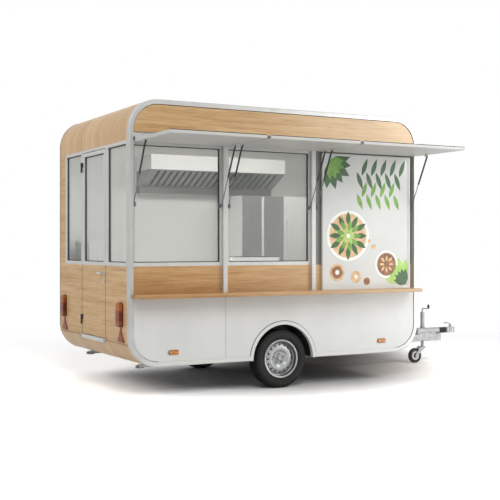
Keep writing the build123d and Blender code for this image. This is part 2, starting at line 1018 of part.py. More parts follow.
with BuildPart() as wall_far:
    with BuildSketch(side_plane(far_in)):
        outline(trim_face + seam)
        zone(0, body_length, shelf_bottom + 2, body_top)
    extrude(amount=-wall)
wall_far.part.label = "wall_far"
export_step(wall_far.part, "parts/wall_far.step")

end_table = [("rear", 0, corner_radius), ("front", body_length - corner_radius, body_length)]

with BuildPart() as end_crowns:
    for where, u0, u1 in end_table:
        end_shell(u0, u1, rail_top + seam, body_top, end_v0, end_v1)
end_crowns.part.label = "end_crowns"
export_step(end_crowns.part, "parts/end_crowns.step")

with BuildPart() as end_lower_curves:
    for where, u0, u1 in end_table:
        end_shell(u0, u1, body_bottom, lower_seam, end_v0, end_v1)
    block(
        body_length - corner_radius - 1,
        body_length + 1,
        mid_v - pole_width / 2 - 12,
        mid_v + pole_width / 2 + 12,
        body_bottom - 1,
        pole_top + 12,
        mode=Mode.SUBTRACT,
    )
end_lower_curves.part.label = "end_lower_curves"
export_step(end_lower_curves.part, "parts/end_lower_curves.step")

with BuildPart() as end_panels:
    end_shell(0, corner_radius, lower_seam + 3, sill_bottom - seam, end_v0, door_near - seam)
    end_shell(0, corner_radius, lower_seam + 3, sill_bottom - seam, door_far + seam, end_v1)
    end_shell(0, corner_radius, sill_bottom - 1, rail_top, stile_far, end_v1)
    end_shell(
        body_length - corner_radius,
        body_length,
        lower_seam + 3,
        rail_top - 3,
        end_v0,
        end_v1,
    )
end_panels.part.label = "end_panels"
export_step(end_panels.part, "parts/end_panels.step")

with BuildPart() as rear_rails:
    block(0, wall, end_v0, stile_far - seam, door_head, rail_top)
    with BuildSketch(side_plane(door_near + tread_inset)):
        zone(-8, 60, lower_seam - tread_drop, door_bottom - 5, mode=Mode.ADD)
        outline(0, mode=Mode.SUBTRACT)
    extrude(amount=-(door_far - 4 - door_near - tread_inset))
    end_shell(
        0,
        corner_radius,
        lower_seam + seam,
        door_bottom - 5,
        door_near + 4,
        door_far - 4,
    )
rear_rails.part.label = "rear_rails"
export_step(rear_rails.part, "parts/rear_rails.step")

with BuildPart() as roof_panel:
    block(
        corner_radius + seam,
        body_length - corner_radius - seam,
        end_v0,
        end_v1,
        body_top - wall,
        body_top,
    )
roof_panel.part.label = "roof_panel"
export_step(roof_panel.part, "parts/roof_panel.step")

# Door, hinged on its far edge

door_v0 = door_near + door_gap
door_v1 = door_far - door_gap
hinge_door_v = door_far - door_gap / 2
leaf_top = door_head - door_gap
barrel_half = hinge_height / 2

with BuildPart() as door_hinges:
    for z in door_hinge_z:
        upright(hinge_barrel, z - barrel_half, z - 1, -door_hinge_out - 2, hinge_door_v)
        upright(hinge_pin, z - 2, z + barrel_half - 6, -door_hinge_out - 2, hinge_door_v)
        block(
            -door_hinge_out,
            0,
            hinge_door_v + 4,
            hinge_door_v + 34,
            z - barrel_half,
            z - 1,
        )
door_hinges.part.label = "door_hinges"
export_step(door_hinges.part, "parts/door_hinges.step")


def door_knuckle(z):
    upright(hinge_barrel, z + 1, z + barrel_half, -door_hinge_out - 2, hinge_door_v)
    block(
        -door_hinge_out,
        1,
        hinge_door_v - 34,
        hinge_door_v - 5,
        z + 1,
        z + barrel_half,
    )
    block(
        -door_hinge_out - 2,
        -door_hinge_out + 4,
        hinge_door_v - 12,
        hinge_door_v,
        z + 1,
        z + barrel_half,
    )
    upright(
        hinge_pin + 0.4,
        z,
        z + barrel_half - 4,
        -door_hinge_out - 2,
        hinge_door_v,
        mode=Mode.SUBTRACT,
    )


with BuildPart() as door_leaf:
    end_shell(0, corner_radius, door_bottom, sill_bottom - seam, door_v0, door_v1)
    door_knuckle(door_hinge_z[0])
door_leaf.part.label = "door_leaf"
export_step(door_leaf.part, "parts/door_leaf.step")

pane_v0 = door_v0 + door_pane_side
pane_v1 = door_v1 - door_pane_side

with BuildPart() as door_frame:
    block(0, wall, door_v0, door_v1, sill_bottom, leaf_top)
    block(
        -1,
        wall + 1,
        pane_v0,
        pane_v1,
        sill_top,
        door_pane_top,
        mode=Mode.SUBTRACT,
    )
    door_knuckle(door_hinge_z[1])
door_frame.part.label = "door_frame"
export_step(door_frame.part, "parts/door_frame.step")

with BuildPart() as door_glass:
    block(
        glass_set,
        glass_set + glass_thick,
        pane_v0 + glass_gap,
        pane_v1 - glass_gap,
        sill_top + glass_gap,
        door_pane_top - glass_gap,
    )
door_glass.part.label = "door_glass"
export_step(door_glass.part, "parts/door_glass.step")

handle_v = door_v0 + 30
handle_z = 1180
lock_drop = 75

with BuildPart() as door_handle:
    cross_bar(20, -8, 0, handle_v, handle_z)
    cross_bar(9, -40, -7, handle_v, handle_z)
    block(-46, -32, handle_v - 9, handle_v + 110, handle_z - 9, handle_z + 9)
    cross_bar(18, -8, 0, handle_v, handle_z - lock_drop)
    cross_bar(9, -12, -7, handle_v, handle_z - lock_drop)
door_handle.part.label = "door_handle"
export_step(door_handle.part, "parts/door_handle.step")

# Flaps, hooked on the bead of the hinge rail

for i, (u0, u1) in enumerate(flap_table):
    with BuildPart() as flap:
        with BuildSketch(cross_plane(u0)):
            with BuildLine():
                centre = (py(hinge_v), hinge_z)
                inner = CenterArc(centre, bead_radius + hook_clear, 30, 195)
                outer = CenterArc(centre, hook_radius, 30, 195)
                Line(inner @ 0, outer @ 0)
                Line(inner @ 1, outer @ 1)
            make_face()
            with Locations((py(hinge_v - (flap_reach + 10) / 2), hinge_z - flap_thick / 2)):
                Rectangle(flap_reach - 10, flap_thick)
        extrude(amount=u1 - u0)
        front_edges = [
            e for e in flap.edges().filter_by(Axis.X) if e.center().Y < py(hinge_v - flap_reach + 1)
        ]
        fillet(front_edges, 6)
        for u, inward in ((strut_table[i][0], 1), (strut_table[i][1], -1)):
            ear_u = u + inward * (eye_width / 2 + 3)
            with BuildSketch(cross_plane(ear_u)):
                with Locations((py(strut_top_v), strut_top_z)):
                    Circle(eye_radius)
                with Locations((py(strut_top_v), hinge_z - flap_thick + 1)):
                    Rectangle(60, 4)
                make_hull()
            extrude(amount=inward * ear_thick)
            pin_end = u - inward * (eye_width / 2 + 2)
            low_u = min(pin_end, ear_u + inward)
            high_u = max(pin_end, ear_u + inward)
            cross_bar(pin_radius, low_u, high_u, strut_top_v, strut_top_z)
    flap.part.label = f"flap_{i + 1}"
    export_step(flap.part, f"parts/flap_{i + 1}.step")

    with BuildPart() as strut_tubes:
        for u in strut_table[i]:
            top = (px(u), py(strut_top_v), strut_top_z)
            along = Plane(origin=top, x_dir=(1, 0, 0), z_dir=strut_dir)
            cross_bar(eye_radius, u - eye_width / 2, u + eye_width / 2, strut_top_v, strut_top_z)
            with BuildSketch(along.offset(eye_radius - 2)):
                Circle(strut_radius)
            extrude(amount=strut_length - eye_radius + 2)
            with BuildSketch(along.offset(40)):
                Circle(rod_radius + rod_clear)
            extrude(amount=strut_length, mode=Mode.SUBTRACT)
            cross_bar(
                pin_radius + pin_clear,
                u - eye_width,
                u + eye_width,
                strut_top_v,
                strut_top_z,
                mode=Mode.SUBTRACT,
            )
    strut_tubes.part.label = f"strut_tubes_{i + 1}"
    export_step(strut_tubes.part, f"parts/strut_tubes_{i + 1}.step")

    with BuildPart() as strut_rods:
        for u in strut_table[i]:
            top = (px(u), py(strut_top_v), strut_top_z)
            along = Plane(origin=top, x_dir=(1, 0, 0), z_dir=strut_dir)
            with BuildSketch(along.offset(strut_length - rod_hold)):
                Circle(rod_radius)
            extrude(amount=strut_open - strut_length + rod_hold)
            cross_bar(8, u - 5, u + 5, strut_foot_v, strut_foot_z)
    strut_rods.part.label = f"strut_rods_{i + 1}"
    export_step(strut_rods.part, f"parts/strut_rods_{i + 1}.step")

with BuildPart() as strut_brackets:
    for u_first, u_last in strut_table:
        for u, inward in ((u_first, 1), (u_last, -1)):
            ear_u = u + inward * 6
            low_u = min(ear_u, ear_u + inward * ear_thick)
            with BuildSketch(cross_plane(low_u)):
                with Locations((py(strut_foot_v), strut_foot_z)):
                    Circle(9)
                with Locations((py(bay_setback - 2), strut_foot_z)):
                    Rectangle(4, 44)
                make_hull()
            extrude(amount=ear_thick)
            plate_u = ear_u + inward * ear_thick / 2
            block(
                plate_u - 12 + inward * 10,
                plate_u + 12 + inward * 10,
                bay_setback - 4,
                bay_setback,
                strut_foot_z - 22,
                strut_foot_z + 22,
            )
strut_brackets.part.label = "strut_brackets"
export_step(strut_brackets.part, "parts/strut_brackets.step")

# Lamps

with BuildPart() as rear_lamps:
    for v in (lamp_v, body_width - lamp_v):
        with BuildSketch(cross_plane(0)):
            with Locations((py(v), lamp_z)):
                RectangleRounded(lamp_width, lamp_height, 32)
        extrude(amount=-lamp_depth)
    outer_faces = rear_lamps.faces().filter_by(Axis.X).group_by(Axis.X)[0]
    fillet([e for f in outer_faces for e in f.edges()], 10)
    for v in (lamp_v, body_width - lamp_v):
        with BuildSketch(cross_plane(12)):
            with Locations((py(v), reflector_z + reflector_side * 0.289)):
                Triangle(a=reflector_side, b=reflector_side, c=reflector_side)
        extrude(amount=-22)
    with BuildSketch(side_plane(0)):
        outline(0)
    extrude(amount=-body_width, mode=Mode.SUBTRACT)
rear_lamps.part.label = "rear_lamps"
export_step(rear_lamps.part, "parts/rear_lamps.step")

with BuildPart() as side_markers:
    length, height, depth = marker_size
    for u in marker_table:
        for v0 in (skin_setback - depth, body_width - skin_setback):
            block(
                u - length / 2,
                u + length / 2,
                v0,
                v0 + depth,
                marker_z - height / 2,
                marker_z + height / 2,
            )
    fillet(side_markers.edges().filter_by(Axis.Y), 8)
side_markers.part.label = "side_markers"
export_step(side_markers.part, "parts/side_markers.step")

# Fittings seen through the glass, cut clear of the wheel boxes


def wheel_room():
    side_bar(box_radius + 6, 0, rail_v, axle_u, hub_z, mode=Mode.SUBTRACT)
    side_bar(box_radius + 6, body_width - rail_v, body_width, axle_u, hub_z, mode=Mode.SUBTRACT)


with BuildPart() as serving_cabinet:
    cab_u0 = cabinet_start
    cab_u1 = cabinet_end
    cab_v0 = bay_in + 2
    cab_v1 = bay_in + cabinet_depth
    block(cab_u0, cab_u1, cab_v0, cab_v1, floor_top, cabinet_top)
    block(
        cab_u0 + board_panel,
        cab_u1 - board_panel,
        cab_v0 - 1,
        cab_v1 - board_panel,
        floor_top - 1,
        cabinet_top - 40,
        mode=Mode.SUBTRACT,
    )
    hob_length, hob_depth, hob_height = hob_size
    hob_u = cab_u1 - hob_back - hob_length
    hob_v = (cab_v0 + cab_v1) / 2
    block(
        hob_u,
        hob_u + hob_length,
        hob_v - hob_depth / 2,
        hob_v + hob_depth / 2,
        cabinet_top - 1,
        cabinet_top + hob_height,
    )
    cross_bar(22, hob_u - 20, hob_u + 1, hob_v, cabinet_top + hob_height / 2)
    wheel_room()
serving_cabinet.part.label = "serving_cabinet"
export_step(serving_cabinet.part, "parts/serving_cabinet.step")

with BuildPart() as hood:
    hood_depth, hood_height = hood_size
    lip_depth, lip_height = hood_lip
    hood_top = body_top - hood_drop
    hood_low = hood_top - hood_height
    profile = [
        (far_in - hood_depth, hood_top),
        (far_in - hood_depth, hood_top - hood_nose),
        (far_in - lip_depth, hood_low + lip_height),
        (far_in - lip_depth, hood_low),
        (far_in, hood_low),
        (far_in, hood_top),
    ]
    with BuildSketch(cross_plane(hood_start)):
        with BuildLine():
            Polyline(*[(py(v), z) for v, z in profile], close=True)
        make_face()
        offset(amount=-sheet, kind=Kind.INTERSECTION, mode=Mode.SUBTRACT)
    extrude(amount=hood_end - hood_start)
    for u0 in (hood_start, hood_end - sheet):
        with BuildSketch(cross_plane(u0)):
            with BuildLine():
                Polyline(*[(py(v), z) for v, z in profile], close=True)
            make_face()
        extrude(amount=sheet)
    nose = Vector(0, py(far_in - hood_depth), hood_top - hood_nose)
    heel = Vector(0, py(far_in - lip_depth), hood_low + lip_height)
    slot_count = int((hood_end - hood_start - 2 * slot_margin) / slot_pitch)
    slope = Plane(
        origin=(px((hood_start + hood_end) / 2), (nose.Y + heel.Y) / 2, (nose.Z + heel.Z) / 2),
        x_dir=(1, 0, 0),
        z_dir=(heel - nose).cross(Vector(1, 0, 0)),
    )
    with BuildSketch(slope):
        with GridLocations(slot_pitch, 1, slot_count, 1):
            SlotOverall(slot_size[1], slot_size[0], rotation=90)
    extrude(amount=2 * sheet, both=True, mode=Mode.SUBTRACT)
hood.part.label = "hood"
export_step(hood.part, "parts/hood.step")

tall_v = far_in - tall_depth
tall_mid = tall_end - tall_widths[1] - tall_gap
tall_start = tall_mid - tall_widths[0]
tall_table = [(tall_start, tall_mid), (tall_mid + tall_gap, tall_end)]

with BuildPart() as tall_cabinets:
    pull_width, pull_out, pull_length = pull_size
    for u0, u1 in tall_table:
        block(u0, u1, tall_v, far_in, floor_top, tall_top)
        block(
            u0 + sheet,
            u1 - sheet,
            tall_v + sheet,
            far_in + 1,
            floor_top + sheet,
            tall_top - sheet,
            mode=Mode.SUBTRACT,
        )
        pull_u = u0 + 40
        block(
            pull_u,
            pull_u + pull_width,
            tall_v - pull_out,
            tall_v + 1,
            pull_z,
            pull_z + pull_length,
        )
        block(
            pull_u - 1,
            pull_u + pull_width + 1,
            tall_v - pull_out / 2,
            tall_v,
            pull_z + pull_width,
            pull_z + pull_length - pull_width,
            mode=Mode.SUBTRACT,
        )
    wheel_room()
tall_cabinets.part.label = "tall_cabinets"
export_step(tall_cabinets.part, "parts/tall_cabinets.step")

with BuildPart() as back_counter:
    counter_end = tall_start - counter_gap
    counter_v = far_in - counter_depth
    block(counter_start, counter_end, counter_v, far_in, floor_top, counter_top)
    block(
        counter_start + board_panel,
        counter_end - board_panel,
        counter_v + board_panel,
        far_in + 1,
        floor_top - 1,
        counter_top - 40,
        mode=Mode.SUBTRACT,
    )
    oven_length, oven_depth, oven_height = oven_size
    oven_u = counter_start + oven_inset[0]
    oven_v = counter_v + oven_inset[1]
    block(
        oven_u,
        oven_u + oven_length,
        oven_v,
        oven_v + oven_depth,
        counter_top - 1,
        counter_top + oven_height,
    )
    block(
        oven_u + 20,
        oven_u + oven_length - 20,
        oven_v + 20,
        oven_v + oven_depth + 1,
        counter_top + 20,
        counter_top + oven_height - 20,
        mode=Mode.SUBTRACT,
    )
    wheel_room()
back_counter.part.label = "back_counter"
export_step(back_counter.part, "parts/back_counter.step")
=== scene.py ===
import math

import bmesh
import bpy
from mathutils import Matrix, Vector


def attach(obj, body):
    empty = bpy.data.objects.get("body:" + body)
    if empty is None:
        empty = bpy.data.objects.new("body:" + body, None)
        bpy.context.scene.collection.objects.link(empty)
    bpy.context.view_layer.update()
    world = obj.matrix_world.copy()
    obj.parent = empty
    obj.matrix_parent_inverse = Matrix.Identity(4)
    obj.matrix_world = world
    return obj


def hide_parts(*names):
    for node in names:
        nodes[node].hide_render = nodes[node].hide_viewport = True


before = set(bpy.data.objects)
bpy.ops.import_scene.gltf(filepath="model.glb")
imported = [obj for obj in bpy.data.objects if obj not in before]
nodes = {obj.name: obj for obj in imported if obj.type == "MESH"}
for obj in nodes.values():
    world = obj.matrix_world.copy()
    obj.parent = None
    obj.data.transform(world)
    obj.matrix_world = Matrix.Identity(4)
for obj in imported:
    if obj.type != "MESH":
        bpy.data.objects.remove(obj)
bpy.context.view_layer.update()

scene = bpy.context.scene

# Measures in millimetres, as in the part's source: u forward from the rear face, v inward, z up
LENGTH, WIDTH, BOTTOM, TOP, RADIUS = 3385, 2085, 300, 2840, 300
REAR_X, SERVING_Y = -2366, -626
TRIM, FAR_TRIM = 46, 20
SHELF_LOW, FASCIA, SILL, WINDOW_TOP = 955, 2522, 1289, 2405
PANES, PANE_V = [(72.5, 979.5), (1080.5, 2009.5)], 71
REAR_PANES, REAR_PANE_TOP, REAR_PANE_U = [(74, 560), (1352, 1838)], 2410, 13
DOOR_PANE, DOOR_PANE_TOP = (680, 1262), 2373
DOOR_EDGES, LOWER_SEAM, SILL_BOTTOM = (620, 1322), 510, 1253
AXLE_U, TYRE_R, TYRE_W, TYRE_IN = 1679.5, 298, 185, 38
ARCH, ARCH_IN = 387, 352
HINGE_V, HINGE_Z, FLAP_REACH = -8, 2455, 825
FLAP_ENDS = [(52, 1010), (1050, 2040), (2080, 3333)]
FLAP_TIP = HINGE_V - FLAP_REACH
BOARD_U, BOARD_Z, BOARD_FACE = (2187, 3282), (1012, 2394), 36
LAMP_V, LAMP_Z = 200, (680, 904)
MARKERS, MARKER_Z, SKIN_V = (458, LENGTH - 484), (414, 446), 8
HOOD_U, HOOD_NOSE, HOOD_HEEL = (900, 2642), (WIDTH - 490, 2310), (WIDTH - 150, 2130)
HOOD_LIP, HOOD_SLOPE, HOOD_BOX = (2056, 2131), (2131, 2311), (2311, 2600)
CABINET_U, WHITE_DOOR_U, CABINET_V = 1943, 2497, 1385
PROFILE_U, PROFILE_Z = (2201, 2227), (528, 2014)
JOCKEY_U, JOCKEY_V, JOCKEY_R = 4238, WIDTH / 2 + 90, 90


def at(u, v, z):
    """A point given as u, v and z, in the row frame in metres."""
    return Vector(((REAR_X + u) / 1000, (SERVING_Y + v) / 1000, z / 1000))


# Materials


def linear(code):
    parts = [int(code[i : i + 2], 16) / 255 for i in (1, 3, 5)]
    out = [c / 12.92 if c <= 0.04045 else ((c + 0.055) / 1.055) ** 2.4 for c in parts]
    return (*out, 1.0)


def add(owner, kind, inputs=None, out=0, stops=(), **settings):
    """Add a node to a material, world or node group, and give one of its outputs.

    inputs holds values and sockets to link; stops are a colour ramp's places and colours.
    """
    tree = getattr(owner, "node_tree", owner)
    node = tree.nodes.new(kind)
    for key, value in settings.items():
        setattr(node, key, value)
    for key, value in (inputs or {}).items():
        if isinstance(value, bpy.types.NodeSocket):
            tree.links.new(value, node.inputs[key])
        else:
            node.inputs[key].default_value = value
    if stops:
        ends = node.color_ramp.elements
        while len(ends) < len(stops):
            ends.new(0.5)
        for end, (where, code) in zip(ends, stops):
            end.position = where
            end.color = linear(code) if isinstance(code, str) else (code, code, code, 1.0)
    return node.outputs[out] if node.outputs else None


def surface(name, rough=0.5, metal=0.0, **sockets):
    mat = bpy.data.materials.new(name)
    mat.use_nodes = True
    bsdf = mat.node_tree.nodes["Principled BSDF"]
    bsdf.inputs["Roughness"].default_value = rough
    bsdf.inputs["Metallic"].default_value = metal
    for key, value in sockets.items():
        bsdf.inputs[key.replace("_", " ")].default_value = value
    return mat


def wire(mat, socket, key):
    mat.node_tree.links.new(socket, mat.node_tree.nodes["Principled BSDF"].inputs[key])


def coat(mat, color, share, how="MIX"):
    """Lay one more colour over the finish, in full where share is 1."""
    base = mat.node_tree.nodes["Principled BSDF"].inputs["Base Color"].links[0].from_socket
    laid = {6: base, 7: color, 0: share}
    wire(mat, add(mat, "ShaderNodeMix", laid, 2, data_type="RGBA", blend_type=how), "Base Color")


def paint_over_metal(mat, mask, metal):
    """Leave the finish metallic only where mask is 0."""
    inputs = {0: mask, 1: -metal, 2: metal}
    wire(mat, add(mat, "ShaderNodeMath", inputs, operation="MULTIPLY_ADD"), "Metallic")


def sheen_and_relief(mat, pattern, rough, depth):
    """Let a pattern vary the roughness between two values, and stand out by depth metres."""
    inputs = {"Value": pattern, "To Min": rough[0], "To Max": rough[1]}
    wire(mat, add(mat, "ShaderNodeMapRange", inputs), "Roughness")
    if depth:
        inputs = {"Height": pattern, "Strength": 0.3, "Distance": depth}
        wire(mat, add(mat, "ShaderNodeBump", inputs), "Normal")


def run(mat, axis, low, high, top=1.0, **settings):
    """0 to top as the piece's own coordinate goes from low to high, in metres."""
    coord = add(mat, "ShaderNodeTexCoord", out="Object")
    place = add(mat, "ShaderNodeSeparateXYZ", {0: coord}, axis)
    inputs = {"Value": place, "From Min": low, "From Max": high, "To Max": top}
    return add(mat, "ShaderNodeMapRange", inputs, **settings)


def within(mat, axis, low, high):
    """1 where the piece's own coordinate lies between low and high, in metres."""
    coord = add(mat, "ShaderNodeTexCoord", out="Object")
    place = add(mat, "ShaderNodeSeparateXYZ", {0: coord}, axis)
    above = add(mat, "ShaderNodeMath", {0: place, 1: low}, operation="GREATER_THAN")
    below = add(mat, "ShaderNodeMath", {0: place, 1: high}, operation="LESS_THAN")
    return add(mat, "ShaderNodeMath", {0: above, 1: below}, operation="MULTIPLY")


def inside(mat):
    """1 on the inner faces of the body's shell, from the distance to its rounded profile."""
    centre = at(LENGTH / 2, WIDTH / 2, (BOTTOM + TOP) / 2)
    half_u = (LENGTH / 2 - RADIUS) / 1000
    half_z = ((TOP - BOTTOM) / 2 - RADIUS) / 1000
    skin, side_skin = 36, 44
    coord = add(mat, "ShaderNodeTexCoord", out="Object")
    moved = add(mat, "ShaderNodeVectorMath", {0: coord, 1: centre}, operation="SUBTRACT")
    size = add(mat, "ShaderNodeVectorMath", {0: moved}, operation="ABSOLUTE")
    squares = []
    for axis, half in (("X", half_u), ("Z", half_z)):
        part = add(mat, "ShaderNodeSeparateXYZ", {0: size}, axis)
        over = add(mat, "ShaderNodeMath", {0: part, 1: half}, operation="SUBTRACT")
        over = add(mat, "ShaderNodeMath", {0: over, 1: 0.0}, operation="MAXIMUM")
        squares.append(add(mat, "ShaderNodeMath", {0: over, 1: 2.0}, operation="POWER"))
    total = add(mat, "ShaderNodeMath", {0: squares[0], 1: squares[1]}, operation="ADD")
    reach = add(mat, "ShaderNodeMath", {0: total}, operation="SQRT")
    limit = (RADIUS - skin) / 1000
    ends = add(mat, "ShaderNodeMath", {0: reach, 1: limit}, operation="LESS_THAN")
    part = add(mat, "ShaderNodeSeparateXYZ", {0: size}, "Y")
    limit = (WIDTH / 2 - side_skin) / 1000
    sides = add(mat, "ShaderNodeMath", {0: part, 1: limit}, operation="LESS_THAN")
    return add(mat, "ShaderNodeMath", {0: ends, 1: sides}, operation="MULTIPLY")


def mottled(name, colors, size, rough, metal=0.0, depth=0.0, stretch=(1, 1, 1), **sockets):
    """A finish whose colour, sheen and height vary together, in patches of a size in millimetres."""
    mat = surface(name, rough[0], metal, **sockets)
    coord = add(mat, "ShaderNodeTexCoord", out="Object")
    place = add(mat, "ShaderNodeMapping", {"Vector": coord, "Scale": stretch})
    inputs = {"Vector": place, "Scale": 1000 / size, "Detail": 4.0}
    patches = add(mat, "ShaderNodeTexNoise", inputs, "Fac")
    stops = [(0.3, colors[0]), (0.7, colors[1])]
    wire(mat, add(mat, "ShaderNodeValToRGB", {"Fac": patches}, stops=stops), "Base Color")
    sheen_and_relief(mat, patches, rough, depth)
    return mat


# Oak's pattern across the grain, in millimetres. Its pores are 0.3 wide: at 5.9 they still show.
OAK_FIGURE, OAK_CLOUD, OAK_STREAK, OAK_PORE, OAK_KNOT = 38.46, 142.9, 15.38, 5.882, 326.3


def oak(name, grain, planks=None, lined=False, painted_sheen=0.0):
    """Oak veneer, sawn flat and lacquered: long streaks, dark pores, small knots and a satin sheen.

    grain is how fast the pattern changes along x, y and z, planks an axis and a board's width in
    metres, lined white paint on the inner faces, and the last how far a painted sheen pales it.
    """
    mat = surface(name, 0.48)
    coord = add(mat, "ShaderNodeTexCoord", out="Object")
    place = add(mat, "ShaderNodeMapping", {"Vector": coord, "Scale": grain})
    layers = {}
    for size, detail, rough, twist in (
        (OAK_FIGURE, 6.0, 0.62, 0.7),
        (OAK_CLOUD, 3.0, 0.5, 0.0),
        (OAK_PORE, 3.0, 0.5, 0.0),
        (OAK_STREAK, 2.0, 0.6, 0.0),
    ):
        inputs = {"Vector": place, "Scale": 1000 / size, "Detail": detail}
        inputs.update({"Roughness": rough, "Distortion": twist})
        layers[size] = add(mat, "ShaderNodeTexNoise", inputs, "Fac")
    knot_place = {"Vector": coord, "Scale": [g**0.6 for g in grain]}
    knot = {"Vector": add(mat, "ShaderNodeMapping", knot_place), "Scale": 1000 / OAK_KNOT}
    layers[OAK_KNOT] = add(mat, "ShaderNodeTexVoronoi", knot, "Distance")
    figure = [(0.28, "#AC8655"), (0.42, "#C49C67"), (0.55, "#D0AC7B"), (0.75, "#DCBE93")]
    tint = add(mat, "ShaderNodeValToRGB", {"Fac": layers[OAK_FIGURE]}, stops=figure)
    wire(mat, tint, "Base Color")
    for size, stops, share, how in (
        (OAK_CLOUD, [(0.35, "#BE9663"), (0.65, "#DABA8E")], 0.35, "MIX"),
        (OAK_STREAK, [(0.36, "#C8A276"), (0.54, "#FFFFFF")], 0.3, "MULTIPLY"),
        (OAK_PORE, [(0.34, "#B98F60"), (0.46, "#FFFFFF")], 0.42, "MULTIPLY"),
        (OAK_KNOT, [(0.015, "#7A5632"), (0.06, "#FFFFFF")], 0.55, "MULTIPLY"),
    ):
        tint = add(mat, "ShaderNodeValToRGB", {"Fac": layers[size]}, stops=stops)
        coat(mat, tint, share, how)
    if planks:
        axis, width = planks
        across = add(mat, "ShaderNodeSeparateXYZ", {0: coord}, axis)
        row = add(mat, "ShaderNodeMath", {0: across, 1: width}, operation="DIVIDE")
        row = add(mat, "ShaderNodeMath", {0: row}, operation="FLOOR")
        tone = add(mat, "ShaderNodeTexWhiteNoise", {"W": row}, "Value", noise_dimensions="1D")
        stops = [(0.0, "#E9E4DC"), (1.0, "#FFFFFF")]
        coat(mat, add(mat, "ShaderNodeValToRGB", {"Fac": tone}, stops=stops), 0.8, "MULTIPLY")
    # A painted sheen: the veneer paled towards a light cream
    if painted_sheen:
        coat(mat, linear("#EAD4B2"), painted_sheen)
    if lined:
        coat(mat, linear("#D8D8D4"), inside(mat))
    sheen_and_relief(mat, layers[OAK_PORE], (0.42, 0.58), 0.0006)
    return mat


# How fast oak's pattern changes along x, y and z, against its pace across the grain
GRAIN_X, GRAIN_Y, GRAIN_CURVE = (0.034, 0.9, 1.0), (0.9, 0.034, 1.0), (0.05, 1.0, 0.05)
SATIN, PRINT = (0.34, 0.44), (0.34, 0.42)
MATT = {"Specular_IOR_Level": 0.25}

